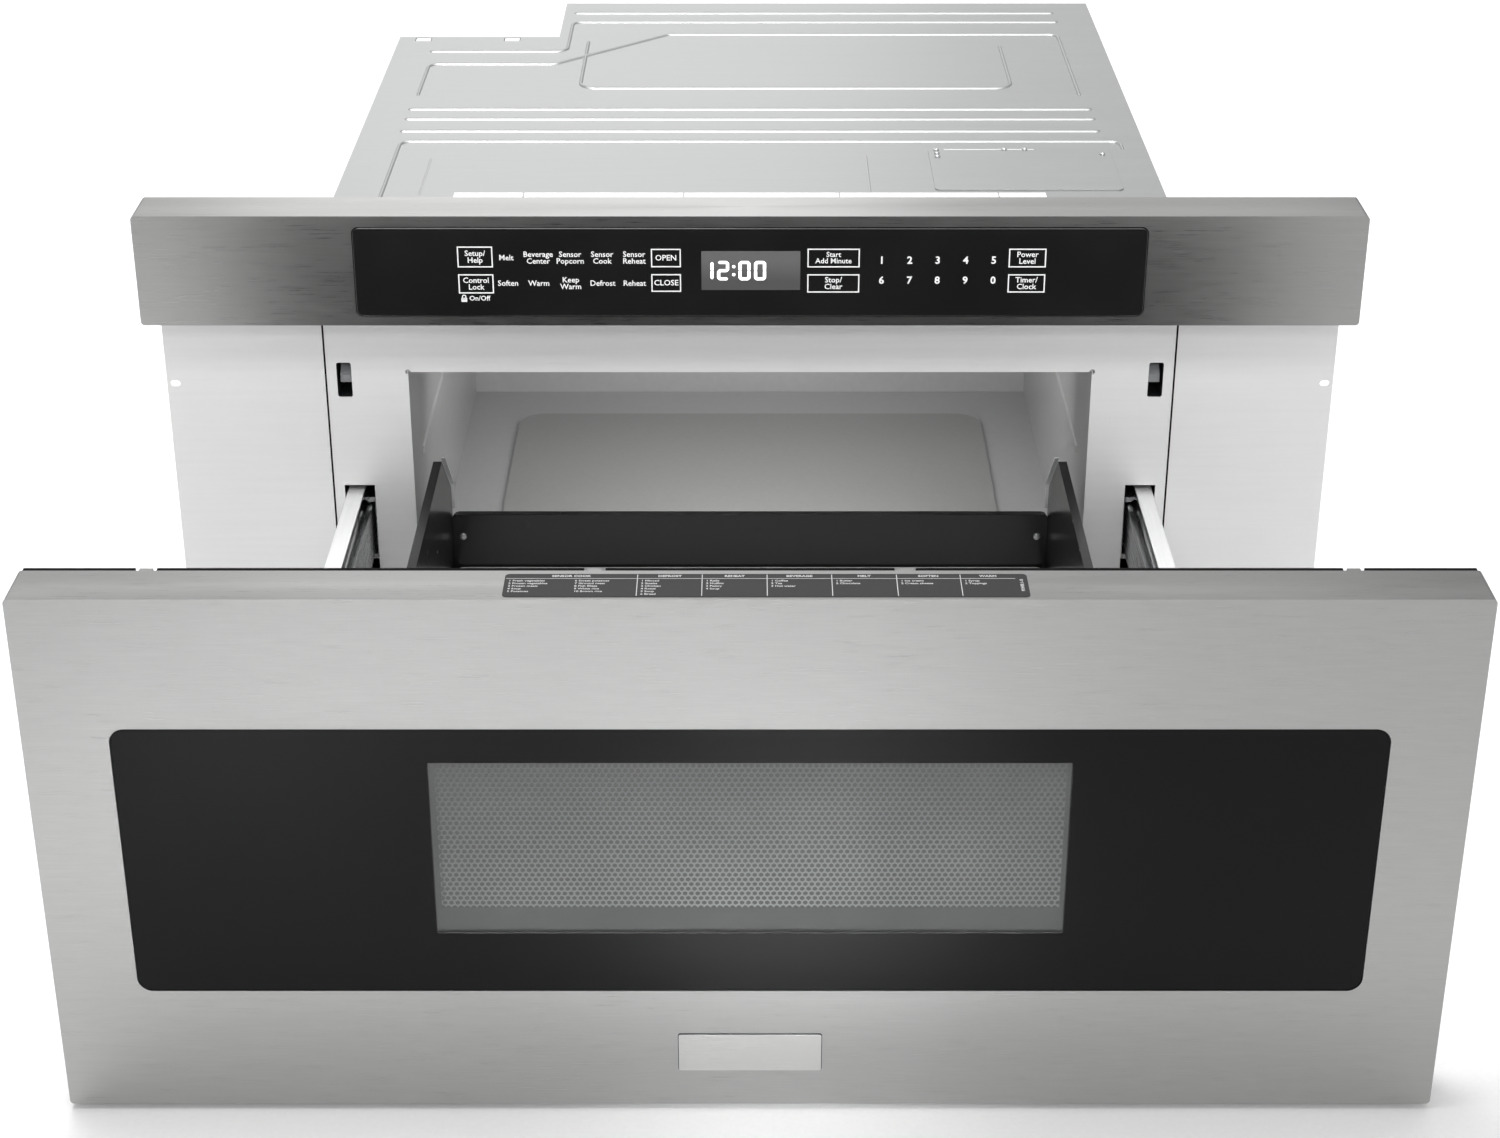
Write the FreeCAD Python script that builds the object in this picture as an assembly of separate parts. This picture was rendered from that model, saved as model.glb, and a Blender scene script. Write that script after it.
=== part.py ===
import FreeCAD, Part
import math
import os

# Microwave drawer, millimetres.
# X runs to the right, -Y towards the cook, +Z up.
# Y = 0 is the front face of the mounting flange, Z = 0 the underside of the base, X = 0 mid-width.
# The drawer is modelled shut and then drawn out by TRAVEL, which is how the part is stored.

V = FreeCAD.Vector

# ---- oven cavity ----
CAVITY_W = 439.6          # clear width, also the width of the mouth
CAVITY_H = 183.5          # clear height
CAVITY_D = 404.0          # flange face to the rear wall
CAVITY_T = 1.0            # sheet
CAVITY_FLOOR = 97.0       # machine space under the floor
HEADROOM = 91.5           # machine space over the roof
REAR_SPACE = 151.0        # machine space behind the rear wall
WALL_RIB_Z = 103.0        # rib on the side walls, above the floor
WALL_RIB_H = 6.0
WALL_RIB_OUT = 1.2

# ---- drawer box ----
BOX_SIDE_GAP = 14.3       # cavity wall to box wall
BOX_WALL = 5.5
BOX_LIFT = 11.0           # cavity floor to the box's frame
BOX_FRAME_H = 9.0
BOX_FLOOR_T = 5.0
BOX_WALL_H = 100.0        # side wall above the floor panel
BOX_BACK_H = 39.0         # rear wall above the floor panel
BOX_REAR_GAP = 6.0        # shut, rear of the box to the cavity's rear wall
BOX_CUT_RUN = 43.0        # sloped rear corner of a side wall
BOX_CUT_DROP = 38.0
TRAVEL = 360.0

# ---- drawer front and control fascia ----
FRONT_D = 36.3            # front face to flange face when shut
SKIN_D = 33.0             # depth of the steel wrap
SKIN_T = 1.0
SEAL_GAP = 0.3            # seal cover to flange when shut
DRAWER_LIFT = 3.0         # bottom edge above the base
DRAWER_TOP_LAP = 38.9     # top edge above the cavity roof
FASCIA_GAP = 7.4
FASCIA_H = 71.4
GLASS_SIDE = 46.0         # margins of the black glass in the drawer front
GLASS_TOP = 76.1
GLASS_BOTTOM = 76.6
GLASS_T = 4.0
GLASS_R = 8.0
GLASS_GAP = 0.4
MESH_W = 333.0
MESH_H = 89.9
MESH_TOP = 21.8           # mesh below the glass's top edge
PANEL_W = 489.0           # control glass
PANEL_TOP = 7.3           # margins of the control glass in the fascia
PANEL_BOTTOM = 6.4
PANEL_T = 3.0
PANEL_PROUD = 0.7
PANEL_R = 4.0
DISPLAY_W = 61.0
DISPLAY_H = 25.6

# ---- casing and flange ----
CASE_T = 1.0
BASE_T = 1.2
FLANGE_T = 1.2
CASE_EDGE = 15.0          # turned-in edges of base and top
NOTCH_W = 123.6           # rear left recess for the outlet
NOTCH_D = 99.0
WING_OVERHANG = 103.7     # casing side to the wing's outer edge
FRONT_OVERHANG = 107.9    # casing side to the drawer front's edge
TAB_INSET = 66.5          # tabs on the drawer front's top edge
TAB_PITCH = 232.6
TAB_W = 7.0
TOP_RIB_Y = 216.7         # three straight beads across the top cover
TOP_RIB_PITCH = 27.85
SEAM = 0.4
FLANGE_RETURN = 18.0
FLANGE_TOP_DROP = 6.0     # flange top below the fascia's top
SCREW_INSET = 5.3         # slot centre from the wing's outer edge
SCREW_SLOT_R = 2.1
SCREW_SLOT_L = 6.4
SCREW_TOP_Z = 272.6
SCREW_PITCH_Z = 200.0
FIT = 0.3                 # common assembly clearance

# ---- telescopic slides ----
SLIDE_OFFSET = 25.2       # cavity outer side to the slide's mounting face
SLIDE_UP = 69.5           # slide centre above the cavity floor
SLIDE_FRONT = 6.0         # shut, front end of every member
SLIDE_REAR_GAP = 2.0      # rear end to the cavity's rear wall line
RAIL_T = 1.5
RAIL_HALF = 22.5          # half height of the cabinet member
RAIL_HOLES = 4
RAIL_HOLE_R = 2.3
RAIL_GAP = 0.4            # member to cage
CAGE_T = 0.7
CAGE_LEG = 0.8
CAGE_L = 150.0
BALL_R = 2.4
BALL_PLAY = 0.1           # ball in its cage hole
RACE_PLAY = 0.15          # ball to race
BALLS_PER_ROW = 3
RACE_BACK = 1.75          # metal behind a race
RACE_NECK = 1.1           # metal between the races of the middle member
LAND = 0.9                # ball centre to the faces beside a race
DRAWER_WEB_GAP = 2.7
CARRIER_T = 1.6
CARRIER_CAP = 11.0        # width of the carrier's top flange
CARRIER_UP = 8.0          # carrier top above the cabinet member
SLOT_CLEAR = 1.8          # flange slot around the carrier
SUPPORT_T = 1.4

# ---- rack drive ----
MODULE = 1.5
PINION_TEETH = 20
DRIVEN_TEETH = 24
MOTOR_TEETH = 18
GEAR_W = 8.0
RACK_W = 8.5
RACK_BACK = 8.0           # rack body above the tooth roots
BACKLASH = 0.3
PRESSURE_ANGLE = 20.0
SHAFT_R = 4.0
SHAFT_UNDER = 6.0         # shaft surface below the cavity floor
SHAFT_Y = 30.0
BUSH_PLAY = 0.06
BUSH_WALL = 4.0
BUSH_L = 6.0
MESH_ANGLE = -45.0        # shaft centre to motor gear centre, seen from +X

# ---- latches ----
LATCH_OFFSET = 10.6       # slot centre inside the casing's side face
LATCH_SLOT_W = 9.5
LATCH_SLOT_Z = 263.0
LATCH_SLOT_H = 24.0
STRIKER_W = 6.5
STRIKER_H = 5.5
STRIKER_L = 26.0
LEVER_W = 7.0
LEVER_PIN_R = 1.5
LEVER_PLAY = 0.06

# ---- microwave feed ----
COVER_W = 360.0           # ceramic antenna cover in the cavity floor
COVER_FRONT = 52.0
COVER_REAR = 351.5
COVER_T = 3.5
COVER_R = 20.0
ANTENNA_Y = 201.0
ANTENNA_R = 70.0
WELL_R = 80.0
WELL_DEPTH = 16.0
GUIDE_W = 88.0
GUIDE_H = 30.0
GUIDE_T = 1.0
GUIDE_REAR_GAP = 36.0     # guide end to the casing's rear
ANTENNA_SHAFT_R = 3.0
ANTENNA_MOTOR_R = 24.0
ANTENNA_MOTOR_H = 22.0

# ---- cooling fan ----
FAN_X = 150.0
FAN_Z = 250.0
FAN_R = 54.0
FAN_TIP = 3.0
FAN_RING_T = 2.0
FAN_DEPTH = 30.0
FAN_HUB_R = 14.0
BLADE_COUNT = 5
FAN_MOTOR_R = 25.0
FAN_MOTOR_L = 36.0

# ---- other units ----
TRANSFORMER = (90.0, 86.0, 92.0)
CAPACITOR = (34.0, 90.0, 54.0)
FILTER_BOARD = (72.0, 46.0, 1.6)
LAMP_X = 120.0
LAMP_Y = 120.0
GLAND_BORE_R = 4.5
GLAND_R = 9.0
GLAND_L = 20.0
GLAND_Z = 60.0
GLAND_IN = 46.0           # gland centre ahead of the casing's rear

# ---- places that follow from the sizes above ----
CAVITY_X = CAVITY_W / 2
CAVITY_OUT_X = CAVITY_X + CAVITY_T
CAVITY_TOP = CAVITY_FLOOR + CAVITY_H
RACE_R = BALL_R + RACE_PLAY
HOLE_R = BALL_R + BALL_PLAY
MID_WEB_A = RAIL_T + 2 * RAIL_GAP + CAGE_T
INNER_CAGE_A = MID_WEB_A + RAIL_T + RAIL_GAP
BALL_A = INNER_CAGE_A + CAGE_T + BALL_PLAY + HOLE_R
CAGE_END_A = BALL_A + HOLE_R + 0.9
MID_END_A = CAGE_END_A + 0.6
CABINET_END_A = MID_END_A + 1.0
DRAWER_WEB_A = MID_END_A + DRAWER_WEB_GAP
SLIDE_THICK = DRAWER_WEB_A + RAIL_T
OUTER_BALL_B = RAIL_HALF - RACE_BACK - RACE_R
INNER_BALL_B = OUTER_BALL_B - 2 * RACE_R - RACE_NECK
SLIDE_X = CAVITY_OUT_X + SLIDE_OFFSET
CARRIER_X = SLIDE_X + SLIDE_THICK
SLOT_IN_X = SLIDE_X
SLOT_OUT_X = CARRIER_X + CARRIER_T + SLOT_CLEAR
CASE_X = SLOT_OUT_X + 4.8 + CASE_T
SIDE_IN_X = CASE_X - CASE_T
CASE_TOP = CAVITY_TOP + CAVITY_T + HEADROOM
CASE_REAR = CAVITY_D + CAVITY_T + REAR_SPACE
NOTCH_X = -CASE_X + NOTCH_W
NOTCH_Y = CASE_REAR - NOTCH_D
FRONT_X = CASE_X + FRONT_OVERHANG
DRAWER_TOP = CAVITY_TOP + DRAWER_TOP_LAP
FASCIA_BOTTOM = DRAWER_TOP + FASCIA_GAP
FASCIA_TOP = FASCIA_BOTTOM + FASCIA_H
FLANGE_TOP = FASCIA_TOP - FLANGE_TOP_DROP
FLANGE_X = CASE_X + 0.2 + FLANGE_T
WING_X = CASE_X + WING_OVERHANG
SLIDE_Z = CAVITY_FLOOR + SLIDE_UP
SLIDE_REAR = CAVITY_D - SLIDE_REAR_GAP
SLIDE_L = SLIDE_REAR - SLIDE_FRONT
CARRIER_TOP = SLIDE_Z + RAIL_HALF + CARRIER_UP
PINION_R = MODULE * PINION_TEETH / 2
DRIVEN_R = MODULE * DRIVEN_TEETH / 2
MOTOR_GEAR_R = MODULE * MOTOR_TEETH / 2
SHAFT_Z = CAVITY_FLOOR - CAVITY_T - SHAFT_UNDER - SHAFT_R
RACK_PITCH_Z = SHAFT_Z + PINION_R
RACK_ROOT_Z = RACK_PITCH_Z + 1.25 * MODULE
SLOT_BOTTOM = RACK_PITCH_Z - MODULE - 2.5
BOX_X = CAVITY_X - BOX_SIDE_GAP
BOX_REAR = CAVITY_D - BOX_REAR_GAP
BOX_BOTTOM = CAVITY_FLOOR + BOX_LIFT
BOX_GLASS_Z = BOX_BOTTOM + BOX_FRAME_H
BOX_FLOOR_Z = BOX_GLASS_Z + BOX_FLOOR_T
BOX_TOP = BOX_FLOOR_Z + BOX_WALL_H
SKIN_REAR = -FRONT_D + SKIN_D
SEAL_REAR = -SEAL_GAP
LATCH_X = CASE_X - LATCH_OFFSET
GUIDE_TOP = CAVITY_FLOOR - CAVITY_T - WELL_DEPTH
GUIDE_BOTTOM = GUIDE_TOP - GUIDE_H
GUIDE_REAR = CASE_REAR - GUIDE_REAR_GAP
GLASS_X = FRONT_X - GLASS_SIDE
GLASS_Z0 = DRAWER_LIFT + GLASS_BOTTOM
GLASS_Z1 = DRAWER_TOP - GLASS_TOP
PANEL_X = PANEL_W / 2
PANEL_Z0 = FASCIA_BOTTOM + PANEL_BOTTOM
PANEL_Z1 = FASCIA_TOP - PANEL_TOP


# ---------------------------------------------------------------- shape helpers

def box(x0, x1, y0, y1, z0, z1):
    """Block between two corners."""
    return Part.makeBox(x1 - x0, y1 - y0, z1 - z0, V(x0, y0, z0))


def soft_box(x0, x1, y0, y1, z0, z1, radius, along):
    """Block whose four edges along one axis are rounded."""
    block = box(x0, x1, y0, y1, z0, z1)
    axis = {"x": V(1, 0, 0), "y": V(0, 1, 0), "z": V(0, 0, 1)}[along]
    edges = [e for e in block.Edges if abs(e.tangentAt(e.FirstParameter).dot(axis)) > 0.99]
    return block.makeFillet(radius, edges)


def rod(start, direction, radius, length):
    """Round bar from a point."""
    return Part.makeCylinder(radius, length, V(*start), V(*direction))


def prism(points, plane, start, end):
    """Polygon in the xy, xz or yz plane, pushed from start to end along the third axis."""
    place = {
        "xy": lambda a, b: V(a, b, start),
        "xz": lambda a, b: V(a, start, b),
        "yz": lambda a, b: V(start, a, b),
    }[plane]
    push = {"xy": V(0, 0, 1), "xz": V(0, 1, 0), "yz": V(1, 0, 0)}[plane] * (end - start)
    corners = [place(a, b) for a, b in points]
    return Part.Face(Part.makePolygon(corners + corners[:1])).extrude(push)


def joined(shapes):
    """One solid from shapes that touch or overlap."""
    return shapes[0].multiFuse(shapes[1:]).removeSplitter()


def cut(shape, tools):
    """The one solid that is left when the tools are taken away."""
    return shape.cut(tools).Solids[0]


def mirrored(shape):
    """The same piece on the other side of the middle plane."""
    return shape.mirror(V(0, 0, 0), V(1, 0, 0))


def shifted(shape, dx, dy, dz):
    """Copy of a shape, moved."""
    moved = shape.copy()
    moved.translate(V(dx, dy, dz))
    return moved


def pair(left_hand_maker):
    """Two solids, left then right, from a maker of the right-hand one."""
    right = left_hand_maker()
    return [mirrored(right), right]


def export(name, solids):
    """Write one node; every solid in it has to be sound."""
    for solid in solids:
        if not solid.isValid() or solid.Volume <= 0:
            raise ValueError(name + " holds an unsound solid")
    shape = solids[0] if len(solids) == 1 else Part.makeCompound(solids)
    shape.exportStep("parts/" + name + ".step")


def drawn_out(solids, share=1.0):
    """Pieces that travel with the drawer, moved from shut to open."""
    return [shifted(solid, 0, -TRAVEL * share, 0) for solid in solids]


# ---------------------------------------------------------------- casing

def plan_outline(inset):
    """Corner points of the casing in plan, with the outlet recess at the rear left."""
    x, rear = CASE_X - inset, CASE_REAR - inset
    return [
        (-x, FLANGE_T),
        (x, FLANGE_T),
        (x, rear),
        (NOTCH_X + inset, rear),
        (NOTCH_X + inset, NOTCH_Y - inset),
        (-x, NOTCH_Y - inset),
    ]


def turned_edge(z0, z1):
    """Edge that stands on the base or hangs from the top, just inside the casing walls."""
    inside = CASE_T + 0.05
    outer = prism(plan_outline(inside), "xy", z0, z1)
    inner = prism(plan_outline(inside + CASE_T), "xy", z0 - 1, z1 + 1)
    front = box(-CASE_X, CASE_X, 0, FLANGE_T + 4, z0 - 1, z1 + 1)
    return outer.cut([inner, front])


def make_base_plate():
    plate = prism(plan_outline(0), "xy", 0, BASE_T)
    lip = box(-CASE_X, CASE_X, 0, FLANGE_T, 0, BASE_T)
    edge = turned_edge(BASE_T, BASE_T + CASE_EDGE)
    vents = []
    for row in range(4):
        for column in range(6):
            x = TRANSFORMER[0] + 10 + column * 18
            y = CAVITY_D - 60 - row * 12
            vents.append(box(x, x + 12, y, y + 4, -1, BASE_T + 1))
    return [cut(joined([plate, lip] + edge.Solids), vents)]


def bead(start, end, height=1.2, width=6.0):
    """Pressed bead on the top cover: a low ridge with sloped flanks."""
    run = V(end[0] - start[0], end[1] - start[1], 0)
    length = run.Length + width * 0.7
    half, crest = width / 2, width / 2 - height
    profile = [V(0, -half, 0), V(0, half, 0), V(0, crest, height), V(0, -crest, height)]
    wire = Part.makePolygon(profile + profile[:1])
    ridge = Part.Face(wire).extrude(V(length, 0, 0))
    ridge.translate(V(-width * 0.35, 0, 0))
    ridge.rotate(V(0, 0, 0), V(0, 0, 1), math.degrees(math.atan2(run.y, run.x)))
    ridge.translate(V(start[0], start[1], CASE_TOP))
    return ridge


def bead_path(points, close=False):
    """Beads end to end along a list of corners."""
    ends = points + points[:1] if close else points
    return [bead(a, b) for a, b in zip(ends, ends[1:])]


def access_opening():
    """Corners of the opening under the access cover."""
    x1 = CASE_X - 26.0
    return x1 - 124.0, x1, 87.0, 176.0


def make_case_top():
    side = CASE_X - 30.6
    rear, notch = CASE_REAR - 25, NOTCH_Y - 36
    beads = bead_path([(side - 1, rear), (NOTCH_X + 11, rear), (NOTCH_X + 11, notch), (-side, notch)])
    beads += bead_path([(side - 4, rear - 30), (NOTCH_X + 30, rear - 30)])
    plateau = [
        (-side, NOTCH_Y - 149),
        (-side, NOTCH_Y - 71),
        (NOTCH_X + 4, NOTCH_Y - 71),
        (NOTCH_X + 84, NOTCH_Y + 4),
        (side - 3, NOTCH_Y + 4),
        (side - 3, NOTCH_Y - 149),
    ]
    beads += bead_path(plateau, close=True)
    beads += bead_path([(NOTCH_X + 26, NOTCH_Y - 86), (NOTCH_X + 26, NOTCH_Y - 134)])
    beads += bead_path([(NOTCH_X + 26, NOTCH_Y - 134), (190, NOTCH_Y - 134), (190, NOTCH_Y - 16)])
    for k in range(3):
        y = TOP_RIB_Y + k * TOP_RIB_PITCH
        beads += bead_path([(-side, y), (side, y)])
    beads += bead_path([(-side, 75), (-side, 195.5), (side, 195.5), (side, 75)], close=True)
    plate = prism(plan_outline(0), "xy", CASE_TOP - CASE_T, CASE_TOP)
    edge = turned_edge(CASE_TOP - CASE_T - CASE_EDGE, CASE_TOP - CASE_T)
    x0, x1, y0, y1 = access_opening()
    holes = [box(x0 + 10, x1 - 10, y0 + 10, y1 - 10, CASE_TOP - 2 * CASE_T, CASE_TOP + 3)]
    pad = box(x0 - 1, x1 + 1, y0 - 1, y1 + 1, CASE_TOP, CASE_TOP + 3)
    for x in (-CASE_X + 19, NOTCH_X - 36):
        holes.append(box(x - 5, x + 5, NOTCH_Y - 14.5, NOTCH_Y - 12, CASE_TOP - 2, CASE_TOP + 2))
    ridges = joined(beads).cut([pad])
    return [cut(joined([plate] + edge.Solids + ridges.Solids), holes)]


def make_access_cover():
    x0, x1, y0, y1 = access_opening()
    plate = soft_box(x0, x1, y0, y1, CASE_TOP, CASE_TOP + 0.8, 4, "z")
    perforations = []
    for y in (y0 + 4, y1 - 7):
        for step in range(12):
            x = x0 + 12 + step * 8.6
            perforations.append(box(x, x + 5, y, y + 3, CASE_TOP - 1, CASE_TOP + 2))
    return [cut(plate, perforations)]


def make_top_gasket():
    """Five pads of sealing foam along the front of the top cover."""
    joints = [-192.6, -147.0, -43.0, 58.0, 161.4, 192.6]
    return [
        box(a + 0.5, b - 0.5, 58, 71, CASE_TOP, CASE_TOP + 4)
        for a, b in zip(joints, joints[1:])
    ]


def make_case_sides():
    """Plain side panels; the left one stops at the outlet recess."""
    z0, z1 = BASE_T, CASE_TOP - CASE_T
    right = box(SIDE_IN_X, CASE_X, FLANGE_T, CASE_REAR - CASE_T, z0, z1)
    left = box(-CASE_X, -SIDE_IN_X, FLANGE_T, NOTCH_Y - CASE_T, z0, z1)
    vents = []
    for row in range(6):
        z = CAVITY_TOP - 20 + row * 11
        vents.append(box(SIDE_IN_X - 1, CASE_X + 1, CASE_REAR - 110, CASE_REAR - 60, z, z + 4))
    return [left, cut(right, vents)]


def make_rear_panel():
    """Rear sheet bent round the outlet recess, with fan louvres and low vents."""
    z0, z1 = BASE_T, CASE_TOP - CASE_T
    recess_rear = box(-CASE_X, NOTCH_X + CASE_T, NOTCH_Y - CASE_T, NOTCH_Y, z0, z1)
    recess_side = box(NOTCH_X, NOTCH_X + CASE_T, NOTCH_Y - CASE_T, CASE_REAR, z0, z1)
    rear = box(NOTCH_X, CASE_X, CASE_REAR - CASE_T, CASE_REAR, z0, z1)
    slots = []
    for row in range(-4, 5):
        z = FAN_Z + row * 11
        half = math.sqrt(max(FAN_R ** 2 - (abs(row) * 11 + 2) ** 2, 150)) - 4
        slots.append(box(FAN_X - half, FAN_X - 3, CASE_REAR - 3, CASE_REAR + 1, z - 2, z + 2))
        slots.append(box(FAN_X + 3, FAN_X + half, CASE_REAR - 3, CASE_REAR + 1, z - 2, z + 2))
    for step in range(10):
        x = FAN_X - 60 + step * 12
        slots.append(box(x, x + 5, CASE_REAR - 3, CASE_REAR + 1, 34, 74))
    gland_y = CASE_REAR - GLAND_IN
    slots.append(rod((NOTCH_X - 1, gland_y, GLAND_Z), (1, 0, 0), GLAND_R - 2 + FIT, 4))
    return [cut(joined([recess_rear, recess_side, rear]), slots)]


def make_cord_gland():
    """Flanged gland in the recess wall; its axis runs along X."""
    y = CASE_REAR - GLAND_IN
    flange = rod((NOTCH_X - 3, y, GLAND_Z), (1, 0, 0), GLAND_R, 3)
    body = rod((NOTCH_X - 3, y, GLAND_Z), (1, 0, 0), GLAND_R - 2, GLAND_L)
    nut = rod((NOTCH_X + CASE_T, y, GLAND_Z), (1, 0, 0), GLAND_R, 5)
    bore = rod((NOTCH_X - 4, y, GLAND_Z), (1, 0, 0), GLAND_BORE_R, GLAND_L + 2)
    return [cut(joined([flange, body, nut]), [bore])]


# ---------------------------------------------------------------- flange

def make_front_plate():
    """Middle of the mounting flange, with the cavity mouth and the four slots."""
    z0 = BASE_T
    sheet = box(-FLANGE_X, FLANGE_X, 0, FLANGE_T, z0, FLANGE_TOP)
    edge = CASE_X + 0.2
    returns = [
        box(edge, FLANGE_X, 0, FLANGE_RETURN, z0, CASE_TOP - 2),
        box(-FLANGE_X, -edge, 0, FLANGE_RETURN, z0, CASE_TOP - 2),
    ]
    tools = [box(-CAVITY_X, CAVITY_X, -1, FLANGE_T + 1, CAVITY_FLOOR, CAVITY_TOP)]
    wiring_z0 = FASCIA_BOTTOM + 12
    tools.append(box(-PANEL_X + 40, PANEL_X - 40, -1, FLANGE_T + 1, wiring_z0, CASE_TOP - 8))
    for side in (-1, 1):
        x0, x1 = sorted((side * SLOT_IN_X, side * SLOT_OUT_X))
        tools.append(box(x0, x1, -1, FLANGE_T + 1, SLOT_BOTTOM, CARRIER_TOP + 3.6))
        x0, x1 = (side * LATCH_X - LATCH_SLOT_W / 2, side * LATCH_X + LATCH_SLOT_W / 2)
        z1 = LATCH_SLOT_Z + LATCH_SLOT_H
        tools.append(soft_box(x0, x1, -1, FLANGE_T + 1, LATCH_SLOT_Z, z1, 1.5, "y"))
        tools.append(rod((side * CAVITY_X, -1, CAVITY_TOP), (0, 1, 0), 1.8, FLANGE_T + 2))
    return [cut(joined([sheet] + returns), tools)]


def make_wing():
    """Right-hand wing of the flange: flat sheet with a return along the casing."""
    x0 = FLANGE_X + SEAM
    sheet = box(x0, WING_X, 0, FLANGE_T, DRAWER_LIFT, FLANGE_TOP)
    fold = box(x0, x0 + FLANGE_T, 0, FLANGE_RETURN, DRAWER_LIFT, CASE_TOP - 2)
    tab = box(FLANGE_X, x0, 0, FLANGE_T, LATCH_SLOT_Z, LATCH_SLOT_Z + 13)
    tools = []
    for z in (SCREW_TOP_Z, SCREW_TOP_Z - SCREW_PITCH_Z):
        x, half = WING_X - SCREW_INSET, SCREW_SLOT_L / 2 - SCREW_SLOT_R
        middle = box(x - half, x + half, -1, FLANGE_T + 1, z - SCREW_SLOT_R, z + SCREW_SLOT_R)
        ends = [rod((x + s * half, -1, z), (0, 1, 0), SCREW_SLOT_R, FLANGE_T + 2) for s in (-1, 1)]
        tools.append(joined([middle] + ends))
    return cut(joined([sheet, fold, tab]), tools)


# ---------------------------------------------------------------- cavity and microwave feed

def make_cavity():
    """Welded oven cavity: open at the front, ribbed walls, holes for antenna and lamp."""
    t, y0 = CAVITY_T, FLANGE_T
    floor, top = CAVITY_FLOOR, CAVITY_TOP
    outer = box(-CAVITY_OUT_X, CAVITY_OUT_X, y0, CAVITY_D + t, floor - t, top + t)
    inner = box(-CAVITY_X, CAVITY_X, y0 - 1, CAVITY_D, floor, top)
    ribs = []
    z = floor + WALL_RIB_Z
    out = WALL_RIB_OUT
    for side in (-1, 1):
        wall = side * CAVITY_X
        rise = wall - side * out
        points = [(wall, z), (rise, z + out), (rise, z + WALL_RIB_H - out), (wall, z + WALL_RIB_H)]
        ribs.append(prism(points, "xz", COVER_FRONT, CAVITY_D))
    antenna = rod((0, ANTENNA_Y, floor - t - 1), (0, 0, 1), WELL_R, t + 2)
    lamp = rod((LAMP_X, LAMP_Y, top - 1), (0, 0, 1), 12, t + 2)
    return [cut(joined([cut(outer, [inner])] + ribs), [antenna, lamp])]


def make_antenna_cover():
    """Ceramic plate over the antenna, lying on the cavity floor."""
    x = COVER_W / 2
    top = CAVITY_FLOOR + COVER_T
    return [soft_box(-x, x, COVER_FRONT, COVER_REAR, CAVITY_FLOOR, top, COVER_R, "z")]


def make_waveguide():
    """Rectangular duct from the magnetron, with the round well under the cavity floor."""
    t, x = GUIDE_T, GUIDE_W / 2
    front, rear = ANTENNA_Y - WELL_R * 0.6, GUIDE_REAR
    duct = box(-x, x, front, rear, GUIDE_BOTTOM, GUIDE_TOP + t)
    inside = box(-x + t, x - t, front + t, rear - t, GUIDE_BOTTOM + t, GUIDE_TOP)
    well_top = CAVITY_FLOOR - CAVITY_T
    well = rod((0, ANTENNA_Y, GUIDE_TOP), (0, 0, 1), WELL_R + t, well_top - GUIDE_TOP)
    bowl = rod((0, ANTENNA_Y, GUIDE_TOP + t), (0, 0, 1), WELL_R, well_top - GUIDE_TOP)
    coupling = rod((0, ANTENNA_Y, GUIDE_TOP - 1), (0, 0, 1), 18, t + 2)
    shaft = rod((0, ANTENNA_Y, GUIDE_BOTTOM - 1), (0, 0, 1), ANTENNA_SHAFT_R + FIT, t + 2)
    probe = rod((0, magnetron_y(), GUIDE_TOP - 1), (0, 0, 1), 12, t + 2)
    return [cut(joined([cut(duct, [inside]), well]), [bowl, coupling, shaft, probe])]


def make_rotating_antenna():
    """Stirrer: slotted disc on a thin shaft that reaches down to its motor."""
    z = CAVITY_FLOOR - CAVITY_T - WELL_DEPTH / 2
    disc = rod((0, ANTENNA_Y, z), (0, 0, 1), ANTENNA_R, 1.5)
    boss = rod((0, ANTENNA_Y, z - 4), (0, 0, 1), 7, 4)
    bottom = GUIDE_BOTTOM - ANTENNA_MOTOR_H + 6
    shaft = rod((0, ANTENNA_Y, bottom), (0, 0, 1), ANTENNA_SHAFT_R, z - bottom)
    slots = []
    for turn in (0, 120, 240):
        slot = box(24, ANTENNA_R - 10, -9, 9, z - 1, z + 3)
        slot.rotate(V(0, 0, 0), V(0, 0, 1), turn)
        slots.append(shifted(slot, 0, ANTENNA_Y, 0))
    window = box(ANTENNA_R - 26, ANTENNA_R + 5, -6, 6, z - 1, z + 3)
    window.rotate(V(0, 0, 0), V(0, 0, 1), 60)
    slots.append(shifted(window, 0, ANTENNA_Y, 0))
    return [cut(joined([disc, boss, shaft]), slots)]


def make_antenna_motor():
    """Small synchronous motor under the waveguide, with two ears."""
    z1 = GUIDE_BOTTOM
    can = rod((0, ANTENNA_Y, z1 - ANTENNA_MOTOR_H), (0, 0, 1), ANTENNA_MOTOR_R, ANTENNA_MOTOR_H)
    ears = box(-ANTENNA_MOTOR_R - 9, ANTENNA_MOTOR_R + 9, ANTENNA_Y - 6, ANTENNA_Y + 6, z1 - 1.5, z1)
    bottom = z1 - ANTENNA_MOTOR_H + 6 - FIT
    bore = rod((0, ANTENNA_Y, bottom), (0, 0, 1), ANTENNA_SHAFT_R + FIT, ANTENNA_MOTOR_H)
    return [cut(joined([can, ears]), [bore])]


def magnetron_y():
    """Centre of the magnetron, behind the cavity."""
    return GUIDE_REAR - 46.0


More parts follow.
